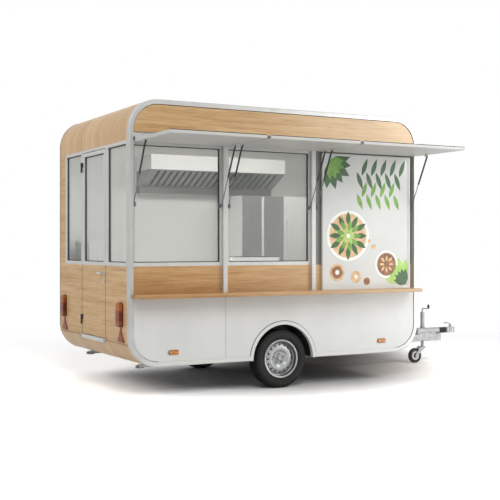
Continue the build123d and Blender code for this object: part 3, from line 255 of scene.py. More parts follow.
FINISH = {
    "oak_along": oak("oak_veneer_along", GRAIN_X),
    "oak_ends": oak("oak_veneer_ends", GRAIN_Y, lined=True),
    # The curved crowns and lower curves are paled by a painted sheen
    "oak_curve": oak("oak_veneer_curved", GRAIN_CURVE, ("Y", 0.17), True, 0.2),
    "oak_far": oak("oak_veneer_far", GRAIN_X, lined=True),
    # Sprayed lacquer on flat board: even and pale, with slow changes of sheen over a third of a metre
    "white": mottled("white_lacquered_panel", ("#D3D4D1", "#DADAD7"), 333.3, (0.3, 0.4), 0.0, 0.0002),
    # Coated roof sheet: chalky, so that a low view of it doesn't glare
    "roof": mottled(
        "white_roof_sheet", ("#C2C2BF", "#CFCECB"), 454.5, (0.62, 0.75), 0.0, 0.0003, Specular_IOR_Level=0.3
    ),
    # Powder coat on sheet: a flat grey with a satin sheen
    # On the bay panel the grey is darkened as painted shade, for its recess beside the board
    "grey": mottled("grey_panel_painted_shade", ("#6E6D69", "#777672"), 384.6, SATIN, 0.0, 0.0002),
    "grey_flap": mottled("grey_coated_flap", ("#B8B7B3", "#C3C2BE"), 384.6, SATIN, 0.0, 0.0002),
    # Drawn and anodised profiles: pale, soft reflections with faint bands
    "alu": mottled("anodised_aluminium", ("#BFBFBC", "#C9C9C6"), 111.1, (0.34, 0.46), 0.3, 0.0001),
    # Hot-dip zinc: light and dark spangles about 30 mm across, half dull
    "zinc": mottled("galvanised_steel", ("#94979A", "#BEC0C1"), 33.33, (0.36, 0.58), 0.5, 0.0003),
    # Coated steel: near black, with a fine orange peel drawn at 33 mm so that it shows
    "black": mottled("black_coated_steel", ("#141516", "#212224"), 33.33, (0.36, 0.5), 0.0, 0.0002),
    # Chromed rod under oil: dark, sharp reflections
    "rod": mottled("dark_chromed_rod", ("#55575A", "#6A6C6F"), 125.0, (0.16, 0.26), 0.9),
    # Extruded rubber: black and dull; its bloom is finer than a millimetre and drawn at 17
    "rubber": mottled("black_rubber_seal", ("#111213", "#1C1D1E"), 16.67, (0.52, 0.7), 0.0, 0.0003),
    "buffer": mottled("grey_rubber_buffer", ("#66686A", "#77797B"), 16.67, (0.5, 0.66), 0.0, 0.0003),
    # Moulded tyre rubber: black, with almost no reflection
    "tyre": mottled("tyre_rubber", ("#0A0B0B", "#141515"), 45.45, (0.7, 0.88), 0.0, 0.0005, **MATT),
    # Sprayed metallic paint: silver with a soft sparkle, its flakes drawn at 71 mm to show
    "silver": mottled("silver_wheel_paint", ("#939595", "#A7A8A8"), 71.43, (0.28, 0.4), 0.5, 0.0001),
    # Brushed sheet: long upright streaks. A brush line is 0.2 mm wide: at 8.3 they still show
    "steel": mottled(
        "brushed_stainless", ("#A6A6A3", "#BEBEBB"), 8.333, (0.24, 0.4), 0.8, 0.0002, (1, 1, 0.025)
    ),
    # Pressed laminate: flat white with a dull sheen
    "laminate": mottled("white_laminate", ("#D6D6D2", "#DFDFDB"), 500.0, (0.36, 0.46)),
    # Safety vinyl: grey specks of 1 to 3 mm, drawn at 17 to show
    "floor": mottled("grey_floor_vinyl", ("#5E5F60", "#767778"), 16.67, (0.5, 0.7), 0.0, 0.0004),
    # Printed film on a white board: flat colour under a satin varnish
    "board": mottled("white_board_print", ("#CFD0CD", "#D8D9D6"), 500.0, PRINT),
    "leaf": mottled("leaf_green_print", ("#5B8E2E", "#7DAE45"), 71.43, PRINT),
    "deep": mottled("deep_green_print", ("#20491F", "#2F5F2B"), 71.43, PRINT),
    "pale": mottled("pale_green_print", ("#8FBF4A", "#B4D873"), 71.43, PRINT),
    "plate": mottled("white_disc_print", ("#EFEFEC", "#F6F6F4"), 125.0, PRINT),
    "tan": mottled("tan_print", ("#C99D6C", "#E6C89C"), 38.46, PRINT),
    "brown": mottled("brown_print", ("#5F3A1E", "#A87446"), 29.41, PRINT),
    # Moulded acrylic lens: clear orange with a sharp sheen
    "amber": mottled("amber_lens", ("#BE6A16", "#D6822E"), 16.67, (0.14, 0.24), 0.0, 0.0003),
    # Hob glass: black with a mirror's sheen
    "hob": mottled("black_hob_glass", ("#0D0E0F", "#17181A"), 83.33, (0.08, 0.16)),
    # Stained oak lipping: a thin dark brown line
    "edging": mottled("stained_oak_edging", ("#5E4023", "#7A5632"), 16.67, (0.5, 0.62), 0.0, 0.0002),
    # Sooted filter plates, darkened further as painted shade: almost black
    "baffle": mottled("dark_hood_baffle", ("#0E0F10", "#1C1D1F"), 50.0, (0.4, 0.6), 0.3),
}

# Float glass: nearly clear, faintly green, with streaks of wiping a third of a metre long
FINISH["glass"] = mottled("clear_window_glass", ("#DDE4E2", "#E6ECEA"), 285.7, (0.01, 0.05), Alpha=0.12)

# Mixed finishes: one CAD node with more than one coat


def coated(name, source, axis, low, high, code):
    """A copy of a finish, painted where the coordinate lies between low and high."""
    mat = FINISH[source].copy()
    mat.name = name
    coat(mat, linear(code), within(mat, axis, low, high))
    return mat


FAR = 9.0  # past the trailer, in metres

# Flaps: the grey coat ends in a paler front edge, the flaps' white paint toned grey as painted shade
tip_y = at(0, FLAP_TIP, 0).y
FINISH["flap"] = coated("grey_flap_white_edge", "grey_flap", "Y", tip_y - 0.01, tip_y + 0.009, "#C6C5C1")

# Hood: a white box over a brushed slope and a dark lip, the lip and the slope darkened as painted shade
lip, slope, box = [[z / 1000 for z in band] for band in (HOOD_LIP, HOOD_SLOPE, HOOD_BOX)]
hood = FINISH["hood"] = coated("stainless_hood_white_box", "steel", "Z", *box, "#E6E6E3")
# Painted shade: the lip dark and the slope half darkened
coat(hood, linear("#6C6B67"), within(hood, "Z", *lip))
half = {0: within(hood, "Z", *slope), 1: 0.5}
coat(hood, linear("#7E7E7B"), add(hood, "ShaderNodeMath", half, operation="MULTIPLY"))
paint_over_metal(hood, within(hood, "Z", *box), 0.8)

# Tall cabinets: a brushed door between a white door and a white cheek
door_x, cheek_x = at(WHITE_DOOR_U, 0, 0).x, at(CABINET_U, 0, 0).x
tall = FINISH["tall"] = coated("stainless_and_white_cabinets", "steel", "X", door_x, FAR, "#DCDCD8")
cheek = within(tall, "X", -FAR, cheek_x)
coat(tall, linear("#DCDCD8"), cheek)
white = {0: within(tall, "X", door_x, FAR), 1: cheek}
paint_over_metal(tall, add(tall, "ShaderNodeMath", white, operation="MAXIMUM"), 0.8)

# Door: the hinge knuckles behind the leaf and its frame are black
behind = at(-0.6, 0, 0).x
FINISH["leaf_oak"] = coated("oak_door_black_knuckle", "oak_ends", "X", -FAR, behind, "#161718")
FINISH["frame_alu"] = coated("anodised_door_frame", "alu", "X", -FAR, behind, "#161718")

# Jockey tube: zinc with a black grip on its crank
FINISH["crank"] = coated("galvanised_tube_black_grip", "zinc", "Z", 0.666, 0.9, "#17181A")

# Roof: a grey joint every 800 mm between its sheets, 10 mm wide to show
roof, sheet_m = FINISH["roof"], 0.8
first_joint = at(LENGTH / 2 - 400, 0, 0).x
sheets = run(roof, "X", first_joint, first_joint + sheet_m, clamp=False)
joint = add(roof, "ShaderNodeMath", {0: sheets, 1: 0.5}, operation="PINGPONG")
joint = add(roof, "ShaderNodeMath", {0: joint, 1: 0.006}, operation="LESS_THAN")
coat(roof, linear("#8E8E8B"), joint)

# Edge trims: paler and painted at the foot, and greyer at the rear as painted shade
trim = FINISH["trim"] = FINISH["alu"].copy()
trim.name = "anodised_edge_trim"
painted_foot = run(trim, "Z", 0.41, 0.33)
coat(trim, linear("#D8D7D3"), painted_foot)
paint_over_metal(trim, painted_foot, 0.35)
# Painted shade: greyer towards the rear end
rear = run(trim, "X", at(40, 0, 0).x, at(220, 0, 0).x)
stops = [(0.0, "#EBEBEA"), (1.0, "#FFFFFF")]
coat(trim, add(trim, "ShaderNodeValToRGB", {"Fac": rear}, stops=stops), 1.0, "MULTIPLY")


def wheel_bands(mat, reach, stops):
    """Colours by the distance from the axle's line, as shares of a reach in metres."""
    spot = {0: add(mat, "ShaderNodeTexCoord", out="Object"), 1: at(AXLE_U, 0, TYRE_R)}
    moved = add(mat, "ShaderNodeVectorMath", spot, operation="SUBTRACT")
    flat = add(mat, "ShaderNodeVectorMath", {0: moved, 1: (1, 0, 1)}, operation="MULTIPLY")
    far = add(mat, "ShaderNodeVectorMath", {0: flat}, "Value", operation="LENGTH")
    share = add(mat, "ShaderNodeMath", {0: far, 1: 1 / reach}, operation="MULTIPLY")
    return add(mat, "ShaderNodeValToRGB", {"Fac": share}, stops=stops)


# Rims: painted shade in the dish and the flange, and a drum behind the vents made near black as painted shade
rim = FINISH["rim"] = FINISH["silver"].copy()
rim.name = "silver_wheel_rim"
bands = [(0.0, "#FFFFFF"), (0.20, "#FFFFFF"), (0.24, "#8A8B8B"), (0.27, "#FFFFFF"), (0.74, "#FFFFFF")]
bands += [(0.79, "#C9CACA"), (0.86, "#A2A4A4"), (0.885, "#55575A"), (0.90, "#FFFFFF")]
coat(rim, wheel_bands(rim, 0.2, bands), 1.0, "MULTIPLY")
drum_in = TYRE_IN + 64
drum = within(rim, "Y", at(0, drum_in, 0).y, at(0, WIDTH - drum_in, 0).y)
coat(rim, linear("#17181A"), drum)
paint_over_metal(rim, drum, 0.5)

# Tyres: sidewalls paler, with a painted highlight brightest on the rib, and a blacker tread
bands = [(0.62, "#131414"), (0.66, "#242422"), (0.8, "#2D2D2A"), (0.835, "#3A3A36"), (0.85, "#1F1F1E")]
bands += [(0.93, "#262624"), (0.96, "#101111")]
coat(FINISH["tyre"], wheel_bands(FINISH["tyre"], 1 / 3.3, bands), 0.75)

# Tail lamps: moulded acrylic in red and orange fields, ribbed inside and dull with dust.
# Real ribs are about 3 mm apart: these are 8 mm, to show.
lamp = FINISH["lamp"] = surface("tail_lamp_lens", 0.34, Specular_IOR_Level=0.25)
rib_scale = 2 * math.pi / 20 / 0.00785
ribs = {"Vector": add(lamp, "ShaderNodeTexCoord", out="Object"), "Scale": rib_scale}
ribs = add(lamp, "ShaderNodeTexWave", ribs, "Fac", bands_direction="Y")
fields = [(0.0, "#87301C"), (0.42, "#8E4C24"), (0.55, "#7A2C18"), (0.72, "#84341C"), (0.79, "#AE5C1C")]
tint = add(lamp, "ShaderNodeValToRGB", {"Fac": run(lamp, "Z", 0.5, 0.92)}, stops=fields)
tint.node.color_ramp.interpolation = "CONSTANT"
wire(lamp, tint, "Base Color")
stops = [(0.0, "#9A8A80"), (0.6, "#FFFFFF")]
coat(lamp, add(lamp, "ShaderNodeValToRGB", {"Fac": ribs}, stops=stops), 0.5, "MULTIPLY")
relief = {"Height": ribs, "Strength": 0.3, "Distance": 0.001}
wire(lamp, add(lamp, "ShaderNodeBump", relief), "Normal")

# Serving side's oak: darker low down as painted shade, paler to the front as a painted sheen
serving = FINISH["oak_serving"] = FINISH["oak_along"].copy()
serving.name = "oak_veneer_serving_side"
# Painted shade: darker low down, under the flaps and along the shelf
stops = [(0.02, "#DCCDB8"), (0.08, "#EADFCE"), (0.3, "#F4ECDF"), (0.95, "#FFFFFF")]
height = {"Fac": run(serving, "Z", 0.95, 2.55)}
coat(serving, add(serving, "ShaderNodeValToRGB", height, stops=stops), 1.0, "MULTIPLY")
# Painted sheen: paler towards the front
coat(serving, linear("#EFDDC2"), run(serving, "X", at(900, 0, 0).x, at(3300, 0, 0).x, 0.4))

DRESS = {
    "oak_serving": "serving_panels counter_shelf",
    "oak_ends": "end_panels",
    "leaf_oak": "door_leaf",
    "oak_curve": "end_crowns end_lower_curves",
    "oak_far": "wall_far",
    "white": "skirts",
    "roof": "roof_panel",
    "grey": "bay_panel",
    "flap": "flap_1 flap_2 flap_3",
    "trim": "edge_trims",
    "alu": "window_posts hinge_rail window_frames rear_rails door_handle",
    "frame_alu": "door_frame",
    "zinc": "chassis_rails crossmembers drawbar_pole overrun_housing ball_coupling"
    " axle_beam jockey_stem jockey_fork steady_leg_serving steady_leg_far",
    "crank": "jockey_tube",
    "buffer": "strut_brackets",
    "black": "wheel_boxes door_hinges strut_tubes_1 strut_tubes_2 strut_tubes_3",
    "rod": "strut_rods_1 strut_rods_2 strut_rods_3",
    "rubber": "hitch_bellows jockey_wheel",
    "tyre": "tyre_serving tyre_far",
    "rim": "rim_serving rim_far",
    "hood": "hood",
    "tall": "tall_cabinets",
    "laminate": "serving_cabinet back_counter",
    "floor": "floor_panel",
    "board": "menu_board",
    "glass": "window_glass door_glass",
    "lamp": "rear_lamps",
    "amber": "side_markers",
}
for key, names in DRESS.items():
    for name in names.split():
        mesh = nodes[name].data
        mesh.materials.clear()
        mesh.materials.append(FINISH[key])

# Shapes


def piece(name, bm, key, body, smooth=False):
    bmesh.ops.recalc_face_normals(bm, faces=bm.faces)
    mesh = bpy.data.meshes.new(name)
    for face in bm.faces:
        face.smooth = smooth
    bm.to_mesh(mesh)
    bm.free()
    mesh.materials.append(FINISH[key])
    obj = bpy.data.objects.new(name, mesh)
    scene.collection.objects.link(obj)
    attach(obj, body)
    return obj


def prism(bm, loop, shift):
    """A closed prism: a flat loop of points carried by a shift."""
    first = [bm.verts.new(p) for p in loop]
    last = [bm.verts.new(p + shift) for p in loop]
    bm.faces.new(first)
    bm.faces.new(last)
    count = len(loop)
    for i in range(count):
        j = (i + 1) % count
        bm.faces.new((first[i], first[j], last[j], last[i]))


def ring(bm, points, inner, shift):
    """A frame between two loops of like count, carried by a shift."""
    a, b = [
        [[bm.verts.new(p + step) for p in loop] for loop in (points, inner)] for step in (Vector(), shift)
    ]
    count = len(points)
    for i in range(count):
        j = (i + 1) % count
        bm.faces.new((a[0][i], a[0][j], a[1][j], a[1][i]))
        bm.faces.new((b[0][i], b[1][i], b[1][j], b[0][j]))
        bm.faces.new((a[0][i], b[0][i], b[0][j], a[0][j]))
        bm.faces.new((a[1][i], a[1][j], b[1][j], b[1][i]))


def rounded(a0, a1, b0, b1, radius, steps=6):
    """Corners of a rounded rectangle in two running measures."""
    out = []
    corners = [(a1, b1, 0), (a0, b1, 90), (a0, b0, 180), (a1, b0, 270)]
    for a, b, turn in corners:
        ca = a - radius if a == a1 else a + radius
        cb = b - radius if b == b1 else b + radius
        for k in range(steps + 1):
            angle = math.radians(turn + 90 * k / steps)
            out.append((ca + radius * math.cos(angle), cb + radius * math.sin(angle)))
    return out


def disc(u, z, radius, steps=28):
    angles = [2 * math.pi * k / steps for k in range(steps)]
    return [(u + radius * math.cos(a), z + radius * math.sin(a)) for a in angles]


def side_loop(pairs, v):
    """Pairs of u and z, set on a plane across v."""
    return [at(a, v, b) for a, b in pairs]


def end_loop(pairs, u):
    """Pairs of v and z, set on a plane across u."""
    return [at(u, a, b) for a, b in pairs]


def top_loop(pairs, z):
    """Pairs of u and v, set on a level plane."""
    return [at(a, b, z) for a, b in pairs]


def turned(bm, profile, centre, turns, cut=lambda k, across, radius: 0.0):
    """Turn a closed profile of (across, radius) pairs about the line along y through a centre.

    cut gives how much lower a point is at the k-th of the turns.
    """
    rings = []
    for k in range(turns):
        angle = 2 * math.pi * k / turns
        verts = []
        for across, radius in profile:
            out = radius - cut(k, across, radius)
            spot = Vector((out * math.cos(angle), across, out * math.sin(angle)))
            verts.append(bm.verts.new(centre + spot / 1000))
        rings.append(verts)
    count = len(profile)
    for k in range(turns):
        nxt = rings[(k + 1) % turns]
        for i in range(count):
            j = (i + 1) % count
            bm.faces.new((rings[k][i], rings[k][j], nxt[j], nxt[i]))


def bead(bm, points, radius, steps=6):
    """A round bead through points in a plane across v."""
    loops = []
    for i, p in enumerate(points):
        ahead = points[min(i + 1, len(points) - 1)] - points[max(i - 1, 0)]
        side = Vector((ahead.z, 0, -ahead.x)).normalized()
        loop = []
        for k in range(steps):
            angle = 2 * math.pi * k / steps
            out = side * math.cos(angle) + Vector((0, math.sin(angle), 0))
            loop.append(bm.verts.new(p + radius * out))
        loops.append(loop)
    for a, b in zip(loops, loops[1:]):
        for k in range(steps):
            m = (k + 1) % steps
            bm.faces.new((a[k], a[m], b[m], b[k]))
    bm.faces.new(loops[0])
    bm.faces.new(loops[-1])


def arc(centre, radius, first, last, steps):
    """Points in u and z on an arc, with angles in degrees up from the front."""
    turns = [math.radians(first + (last - first) * k / steps) for k in range(steps + 1)]
    return [(centre[0] + radius * math.cos(a), centre[1] + radius * math.sin(a)) for a in turns]


def repeat(name, points, make_one, key, body, turn):
    """One mesh set on every point by geometry nodes, realized and made a plain mesh."""
    cloud = bpy.data.meshes.new(name + "_points")
    cloud.from_pydata([tuple(p) for p in points], [], [])
    obj = bpy.data.objects.new(name, cloud)
    scene.collection.objects.link(obj)
    bm = bmesh.new()
    make_one(bm)
    bmesh.ops.recalc_face_normals(bm, faces=bm.faces)
    unit = bpy.data.meshes.new(name + "_unit")
    bm.to_mesh(unit)
    bm.free()
    unit_obj = bpy.data.objects.new(name + "_unit", unit)
    scene.collection.objects.link(unit_obj)
    group = bpy.data.node_groups.new(name, "GeometryNodeTree")
    group.interface.new_socket("Geometry", in_out="INPUT", socket_type="NodeSocketGeometry")
    turn_in = group.interface.new_socket("Turn", in_out="INPUT", socket_type="NodeSocketVector")
    unit_in = group.interface.new_socket("Unit", in_out="INPUT", socket_type="NodeSocketObject")
    group.interface.new_socket("Geometry", in_out="OUTPUT", socket_type="NodeSocketGeometry")
    start = group.nodes.new("NodeGroupInput").outputs
    shape = add(group, "GeometryNodeObjectInfo", {"Object": start["Unit"]}, "Geometry")
    spots = add(group, "GeometryNodeMeshToPoints", {"Mesh": start["Geometry"]})
    spread = {"Points": spots, "Instance": shape, "Rotation": start["Turn"]}
    copies = add(group, "GeometryNodeInstanceOnPoints", spread)
    real = add(group, "GeometryNodeRealizeInstances", {"Geometry": copies})
    painted = add(group, "GeometryNodeSetMaterial", {"Geometry": real, "Material": FINISH[key]})
    add(group, "NodeGroupOutput", {"Geometry": painted})
    mod = obj.modifiers.new("repeat", "NODES")
    mod.node_group = group
    mod[turn_in.identifier] = turn
    mod[unit_in.identifier] = unit_obj
    bpy.context.view_layer.update()
    graph = bpy.context.evaluated_depsgraph_get()
    baked = bpy.data.meshes.new_from_object(obj.evaluated_get(graph))
    obj.modifiers.clear()
    obj.data = baked
    bpy.data.objects.remove(unit_obj)
    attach(obj, body)


# Rubber round the panes
GASKET, GASKET_SIDE, GASKET_END = 8, Vector((0, 0.0168, 0)), Vector((0.0148, 0, 0))


def gasket(bm, low, high, top, place, plane, depth):
    outer = rounded(low, high, SILL, top, 4, 3)
    inner = rounded(low + GASKET, high - GASKET, SILL + GASKET, top - GASKET, 8, 3)
    ring(bm, place(outer, plane), place(inner, plane), depth)


bm = bmesh.new()
for u0, u1 in PANES:
    gasket(bm, u0, u1, WINDOW_TOP, side_loop, PANE_V, GASKET_SIDE)
for v0, v1 in REAR_PANES:
    gasket(bm, v0, v1, REAR_PANE_TOP, end_loop, REAR_PANE_U, GASKET_END)
piece("window_gaskets", bm, "rubber", "trailer")
bm = bmesh.new()
gasket(bm, *DOOR_PANE, DOOR_PANE_TOP, end_loop, REAR_PANE_U, GASKET_END)
piece("door_gasket", bm, "rubber", "door")

# Brown edging on the rear panels: beside the door and along the lower seam
strips = []
for v in (DOOR_EDGES[0] - 9, DOOR_EDGES[1] + 3):
    strips.append((v, v + 6, LOWER_SEAM + 4, SILL_BOTTOM - 4))
for v0, v1 in ((60, DOOR_EDGES[0] - 4), (DOOR_EDGES[1] + 4, WIDTH - FAR_TRIM - 6)):
    strips.append((v0, v1, LOWER_SEAM + 5, LOWER_SEAM + 9))
bm = bmesh.new()
for strip in strips:
    prism(bm, end_loop(rounded(*strip, 1, 2), 0.3), Vector((-0.0007, 0, 0)))
piece("panel_edging", bm, "edging", "trailer")

# Black beads where the edge trims meet the panels: painted shade for the shadow line there
SEAM = TRIM + 2
SEAM_R = RADIUS - SEAM
UPPER, LOWER = (RADIUS, TOP - RADIUS), (RADIUS, BOTTOM + RADIUS)


def at_front(pairs):
    return [(LENGTH - u, z) for u, z in pairs]


def over_the_top(low):
    """Up one side, round the two upper corners and down again, along the trims' inner edge."""
    pairs = [(SEAM, low)] + arc(UPPER, SEAM_R, 180, 90, 12)
    return pairs + at_front(reversed(pairs))


foot = [(SEAM, SHELF_LOW - 4)] + arc(LOWER, SEAM_R, 180, 270, 12)
end = arc(LOWER, RADIUS - 2, 250, 180, 12) + arc(UPPER, RADIUS - 2, 180, 110, 12)
bm = bmesh.new()
bead(bm, side_loop(over_the_top(FASCIA), 6.5), 0.003)
bead(bm, side_loop(over_the_top(SHELF_LOW + 5), WIDTH - 6.5), 0.003)
for foot_pairs, end_pairs in ((foot, end), (at_front(foot), at_front(end))):
    bead(bm, side_loop(foot_pairs, 7.5), 0.0022)
    bead(bm, side_loop(foot_pairs, WIDTH - 7.5), 0.0022)
    bead(bm, side_loop(end_pairs, WIDTH - FAR_TRIM - 0.3), 0.005)
piece("trim_seals", bm, "rubber", "trailer", True)

# Seals round the arch lips, and liners below the wheel boxes' ends
AXLE = (AXLE_U, TYRE_R)
LINER_IN, LINER_WIDE = 52, 178
bm = bmesh.new()
for v in (7.6, WIDTH - 7.6):
    bead(bm, side_loop(arc(AXLE, ARCH + 3.2, 7.6, 172.4, 60), v), 0.0026)
piece("arch_seals", bm, "rubber", "trailer", True)
bm = bmesh.new()
for v in (LINER_IN, WIDTH - LINER_IN - LINER_WIDE):
    for first, last in ((0.9, 10.2), (169.8, 179.1)):
        near = arc(AXLE, ARCH_IN + 0.5, first, last, 6)
        away = arc(AXLE, ARCH_IN + 3.5, last, first, 6)
        prism(bm, side_loop(near + away, v), Vector((0, LINER_WIDE / 1000, 0)))
piece("arch_liners", bm, "black", "trailer")

# Caps at the two ends of the hook hinge
bm = bmesh.new()
outline = rounded(HINGE_V - 17, HINGE_V + 20, HINGE_Z - 16, HINGE_Z + 17, 9, 5)
for u in (46.6, LENGTH - 51.4):
    prism(bm, end_loop(outline, u), Vector((0.0048, 0, 0)))
piece("hinge_caps", bm, "black", "trailer")

# Baffles behind the hood's slots: two plates in a low roof for each
SLOTS, SLOT_EDGE = 12, 14
PITCH = (HOOD_U[1] - HOOD_U[0] - 2 * SLOT_EDGE) / SLOTS


def baffle(bm):
    """One baffle, from the slope's nose down to its heel."""
    fall = at(0, *HOOD_HEEL) - at(0, *HOOD_NOSE)
    down = fall.normalized()
    lift = Vector((0, -down.z, down.y))
    wide = Vector((PITCH / 1000 - 0.003, 0, 0))
    low = down * 0.012 + lift * 0.007
    high = fall - down * 0.012 + lift * 0.007
    ridge = wide * 0.5 + lift * 0.012
    for edge in (Vector(), wide):
        prism(bm, [low + edge, high + edge, high + ridge, low + ridge], lift * 0.003)


spots = [at(HOOD_U[0] + SLOT_EDGE + k * PITCH, *HOOD_NOSE) for k in range(SLOTS)]
repeat("hood_baffles", spots, baffle, "baffle", "trailer", (0, 0, 0))

# Pale hubs in the jockey wheel
HUB = [(13.2, 26), (19, 29), (20, 34), (17, 38), (17, 48), (20, 52), (18, 56), (13.2, 57)]
bm = bmesh.new()
for way in (-1, 1):
    turned(bm, [(way * a, r) for a, r in HUB], at(JOCKEY_U, JOCKEY_V, JOCKEY_R), 40)
piece("jockey_hubs", bm, "laminate", "jockey_wheel", True)

# Corner buffers on the flaps' sides that meet another flap
for i, (u0, u1) in enumerate(FLAP_ENDS):
    bm = bmesh.new()
    sides = ([(u0 - 18, u0 + 2)] if i > 0 else []) + ([(u1 - 2, u1 + 18)] if i < 2 else [])
    for a0, a1 in sides:
        outline = rounded(a0, a1, HINGE_Z - 28, HINGE_Z - 2, 5, 3)
        prism(bm, side_loop(outline, FLAP_TIP + 4), Vector((0, 0.06, 0)))
    piece(f"flap_buffers_{i + 1}", bm, "buffer", f"flap_{i + 1}")

# Dark lips along the flaps' front edges
outline = rounded(FLAP_TIP + 0.5, FLAP_TIP + 9, HINGE_Z - 1, HINGE_Z + 4.5, 2, 3)
for i, (u0, u1) in enumerate(FLAP_ENDS):
    bm = bmesh.new()
    prism(bm, end_loop(outline, u0 + 2), Vector(((u1 - u0 - 4) / 1000, 0, 0)))
    piece(f"flap_lip_{i + 1}", bm, "rubber", f"flap_{i + 1}")

# Seats under the lamps and markers
bm = bmesh.new()
low, high = LAMP_Z
for v in (LAMP_V, WIDTH - LAMP_V):
    outer = rounded(v - 55, v + 55, low - 8, high + 8, 37, 6)
    inner = rounded(v - 47, v + 47, low, high, 29, 6)
    ring(bm, end_loop(outer, 0.5), end_loop(inner, 0.5), Vector((-0.008, 0, 0)))
piece("rear_lamp_seats", bm, "rubber", "trailer")
bm = bmesh.new()
low, high = MARKER_Z
for u in MARKERS:
    outer = rounded(u - 52, u + 52, low - 6, high + 6, 11, 4)
    inner = rounded(u - 46, u + 46, low, high, 6, 4)
    for v, way in ((SKIN_V, -1), (WIDTH - SKIN_V, 1)):
        ring(bm, side_loop(outer, v), side_loop(inner, v), Vector((0, way * 0.004, 0)))
piece("marker_seats", bm, "rubber", "trailer")

# Tyres: lugs on the tread, ribs on the sidewalls
HALF = TYRE_W / 2
TURNS, LUG = 288, 4


def lug_cut(k, across, radius):
    """How deep the tread is cut: shoulder grooves, then finer sipes between the ribs."""
    phase = (k + round(abs(across) / 12)) % LUG
    if phase == 0 and 40 < abs(across) < 80 and radius > 284:
        return 5.0
    return 3.0 if phase == 2 and 8.5 < abs(across) < 39 and radius > 296 else 0.0


def tyre(name, v0, body, node):
    wall = [(HALF - 21, 192), (HALF - 10, 206), (HALF - 3, 222), (HALF, 240), (HALF - 0.5, 252)]
    wall += [(HALF - 2, 254), (HALF - 2.5, 264), (HALF - 6, 276), (HALF - 13, 288)]
    tread = [(62, 296.5), (44, 297.4), (40, 297.5), (39, 290), (33, 290), (32, 297.8), (9, 298), (8, 290.5)]
    outer = wall + tread
    inner = [(HALF - 24, 205), (HALF - 14, 240), (60, 278)]
    profile = outer + [(-a, r) for a, r in reversed(outer)]
    profile += [(-a, r) for a, r in inner] + list(reversed(inner))
    bm = bmesh.new()
    turned(bm, profile, at(AXLE_U, v0 + HALF, TYRE_R), TURNS, lug_cut)
    obj = piece(name, bm, "tyre", body)
    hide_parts(node)


tyre("tyre_tread_serving", TYRE_IN, "wheel_serving", "tyre_serving")
tyre("tyre_tread_far", WIDTH - TYRE_IN - TYRE_W, "wheel_far", "tyre_far")

# Board face: a plain design of leaves and rounds, slightly raised


def leaf(u, z, length, width, turn, steps=10):
    pairs = []
    c, s = math.cos(math.radians(turn)), math.sin(math.radians(turn))
    for k in range(2 * steps):
        t = k / steps
        along, side = (t, 1) if t <= 1 else (2 - t, -1)
        across = side * width / 2 * math.sin(math.pi * along) * (1 - 0.25 * along)
        out = (along - 0.5) * length
        pairs.append((u + out * c - across * s, z + out * s + across * c))
    return pairs


def sprig(u, z, count, step, length, width, lean):
    """Leaves set to both sides of a stem that runs along u."""
    out = []
    for k in range(count):
        side = 1 if k % 2 else -1
        out.append(leaf(u + k * step, z + side * 0.36 * length, length, width, side * lean))
    return out


def bunch(u, z, radius, count, length, width, first, sweep):
    """Leaves fanned round a point."""
    out = []
    for k in range(count):
        turn = first + sweep * k / (count - 1)
        reach = radius * (1 + 0.12 * (k % 2))
        spot = (u + reach * math.cos(math.radians(turn)), z + reach * math.sin(math.radians(turn)))
        out.append(leaf(*spot, length, width, turn))
    return out


def petals(u, z, radius, count, length, width):
    return bunch(u, z, radius, count, length, width, 0, 360 * (count - 1) / count)


# Middles of the rounds and of the corner's bunch, in u and z
LARGE, SMALL, LEFT, MID = (2490, 1555), (2990, 1250), (2350, 1170), (2590, 1120)
CORNER = (2244, 2330)
DESIGN = [
    ("deep", sprig(2640, 2215, 10, 62, 205, 62, 68)),
    ("leaf", sprig(2640, 1985, 9, 60, 185, 58, 68)),
    ("plate", [disc(*LARGE, 268, 48), disc(*SMALL, 150, 36)]),
    ("tan", [disc(*LARGE, 236, 44), disc(*LEFT, 92), disc(*MID, 64)]),
    ("deep", petals(*LARGE, 165, 12, 150, 66) + bunch(*CORNER, 150, 6, 260, 120, -95, 110)),
    ("leaf", petals(*LARGE, 105, 9, 120, 58) + bunch(*CORNER, 95, 5, 190, 96, -85, 90)),
    ("pale", petals(*LARGE, 48, 6, 84, 44) + bunch(3214, 1070, 130, 5, 220, 100, 80, 95)),
    ("brown", [disc(*SMALL, 124, 32), disc(*LEFT, 66), disc(2730, 1070, 40)]),
    ("deep", bunch(3234, 1050, 60, 5, 180, 88, 85, 85)),
    ("tan", petals(*SMALL, 62, 8, 66, 34) + [disc(2820, 1440, 26), disc(2760, 1500, 20)]),
    ("plate", [disc(*LEFT, 26), disc(*MID, 22), disc(*LARGE, 22)]),
]
# Each layer stands a little over the last, and so does each shape in it, so that none coincide
MARGIN, FIRST_LIFT, LAYER_LIFT, SHAPE_LIFT = 2, 0.4, 0.36, 0.02
for layer, (key, shapes) in enumerate(DESIGN):
    bm = bmesh.new()
    for i, pairs in enumerate(shapes):
        lift = FIRST_LIFT + LAYER_LIFT * layer + SHAPE_LIFT * i
        kept = [
            (
                min(max(a, BOARD_U[0] + MARGIN), BOARD_U[1] - MARGIN),
                min(max(b, BOARD_Z[0] + MARGIN), BOARD_Z[1] - MARGIN),
            )
            for a, b in pairs
        ]
        prism(bm, side_loop(kept, BOARD_FACE - lift), Vector((0, lift / 1000 - 0.0001, 0)))
    piece(f"board_{layer}_{key}", bm, key, "trailer")

# Bright profile between the tall cabinet's grey doors
bm = bmesh.new()
outline = rounded(*PROFILE_U, *PROFILE_Z, 3, 3)
prism(bm, side_loop(outline, CABINET_V), Vector((0, -0.007, 0)))
piece("cabinet_profile", bm, "laminate", "trailer")

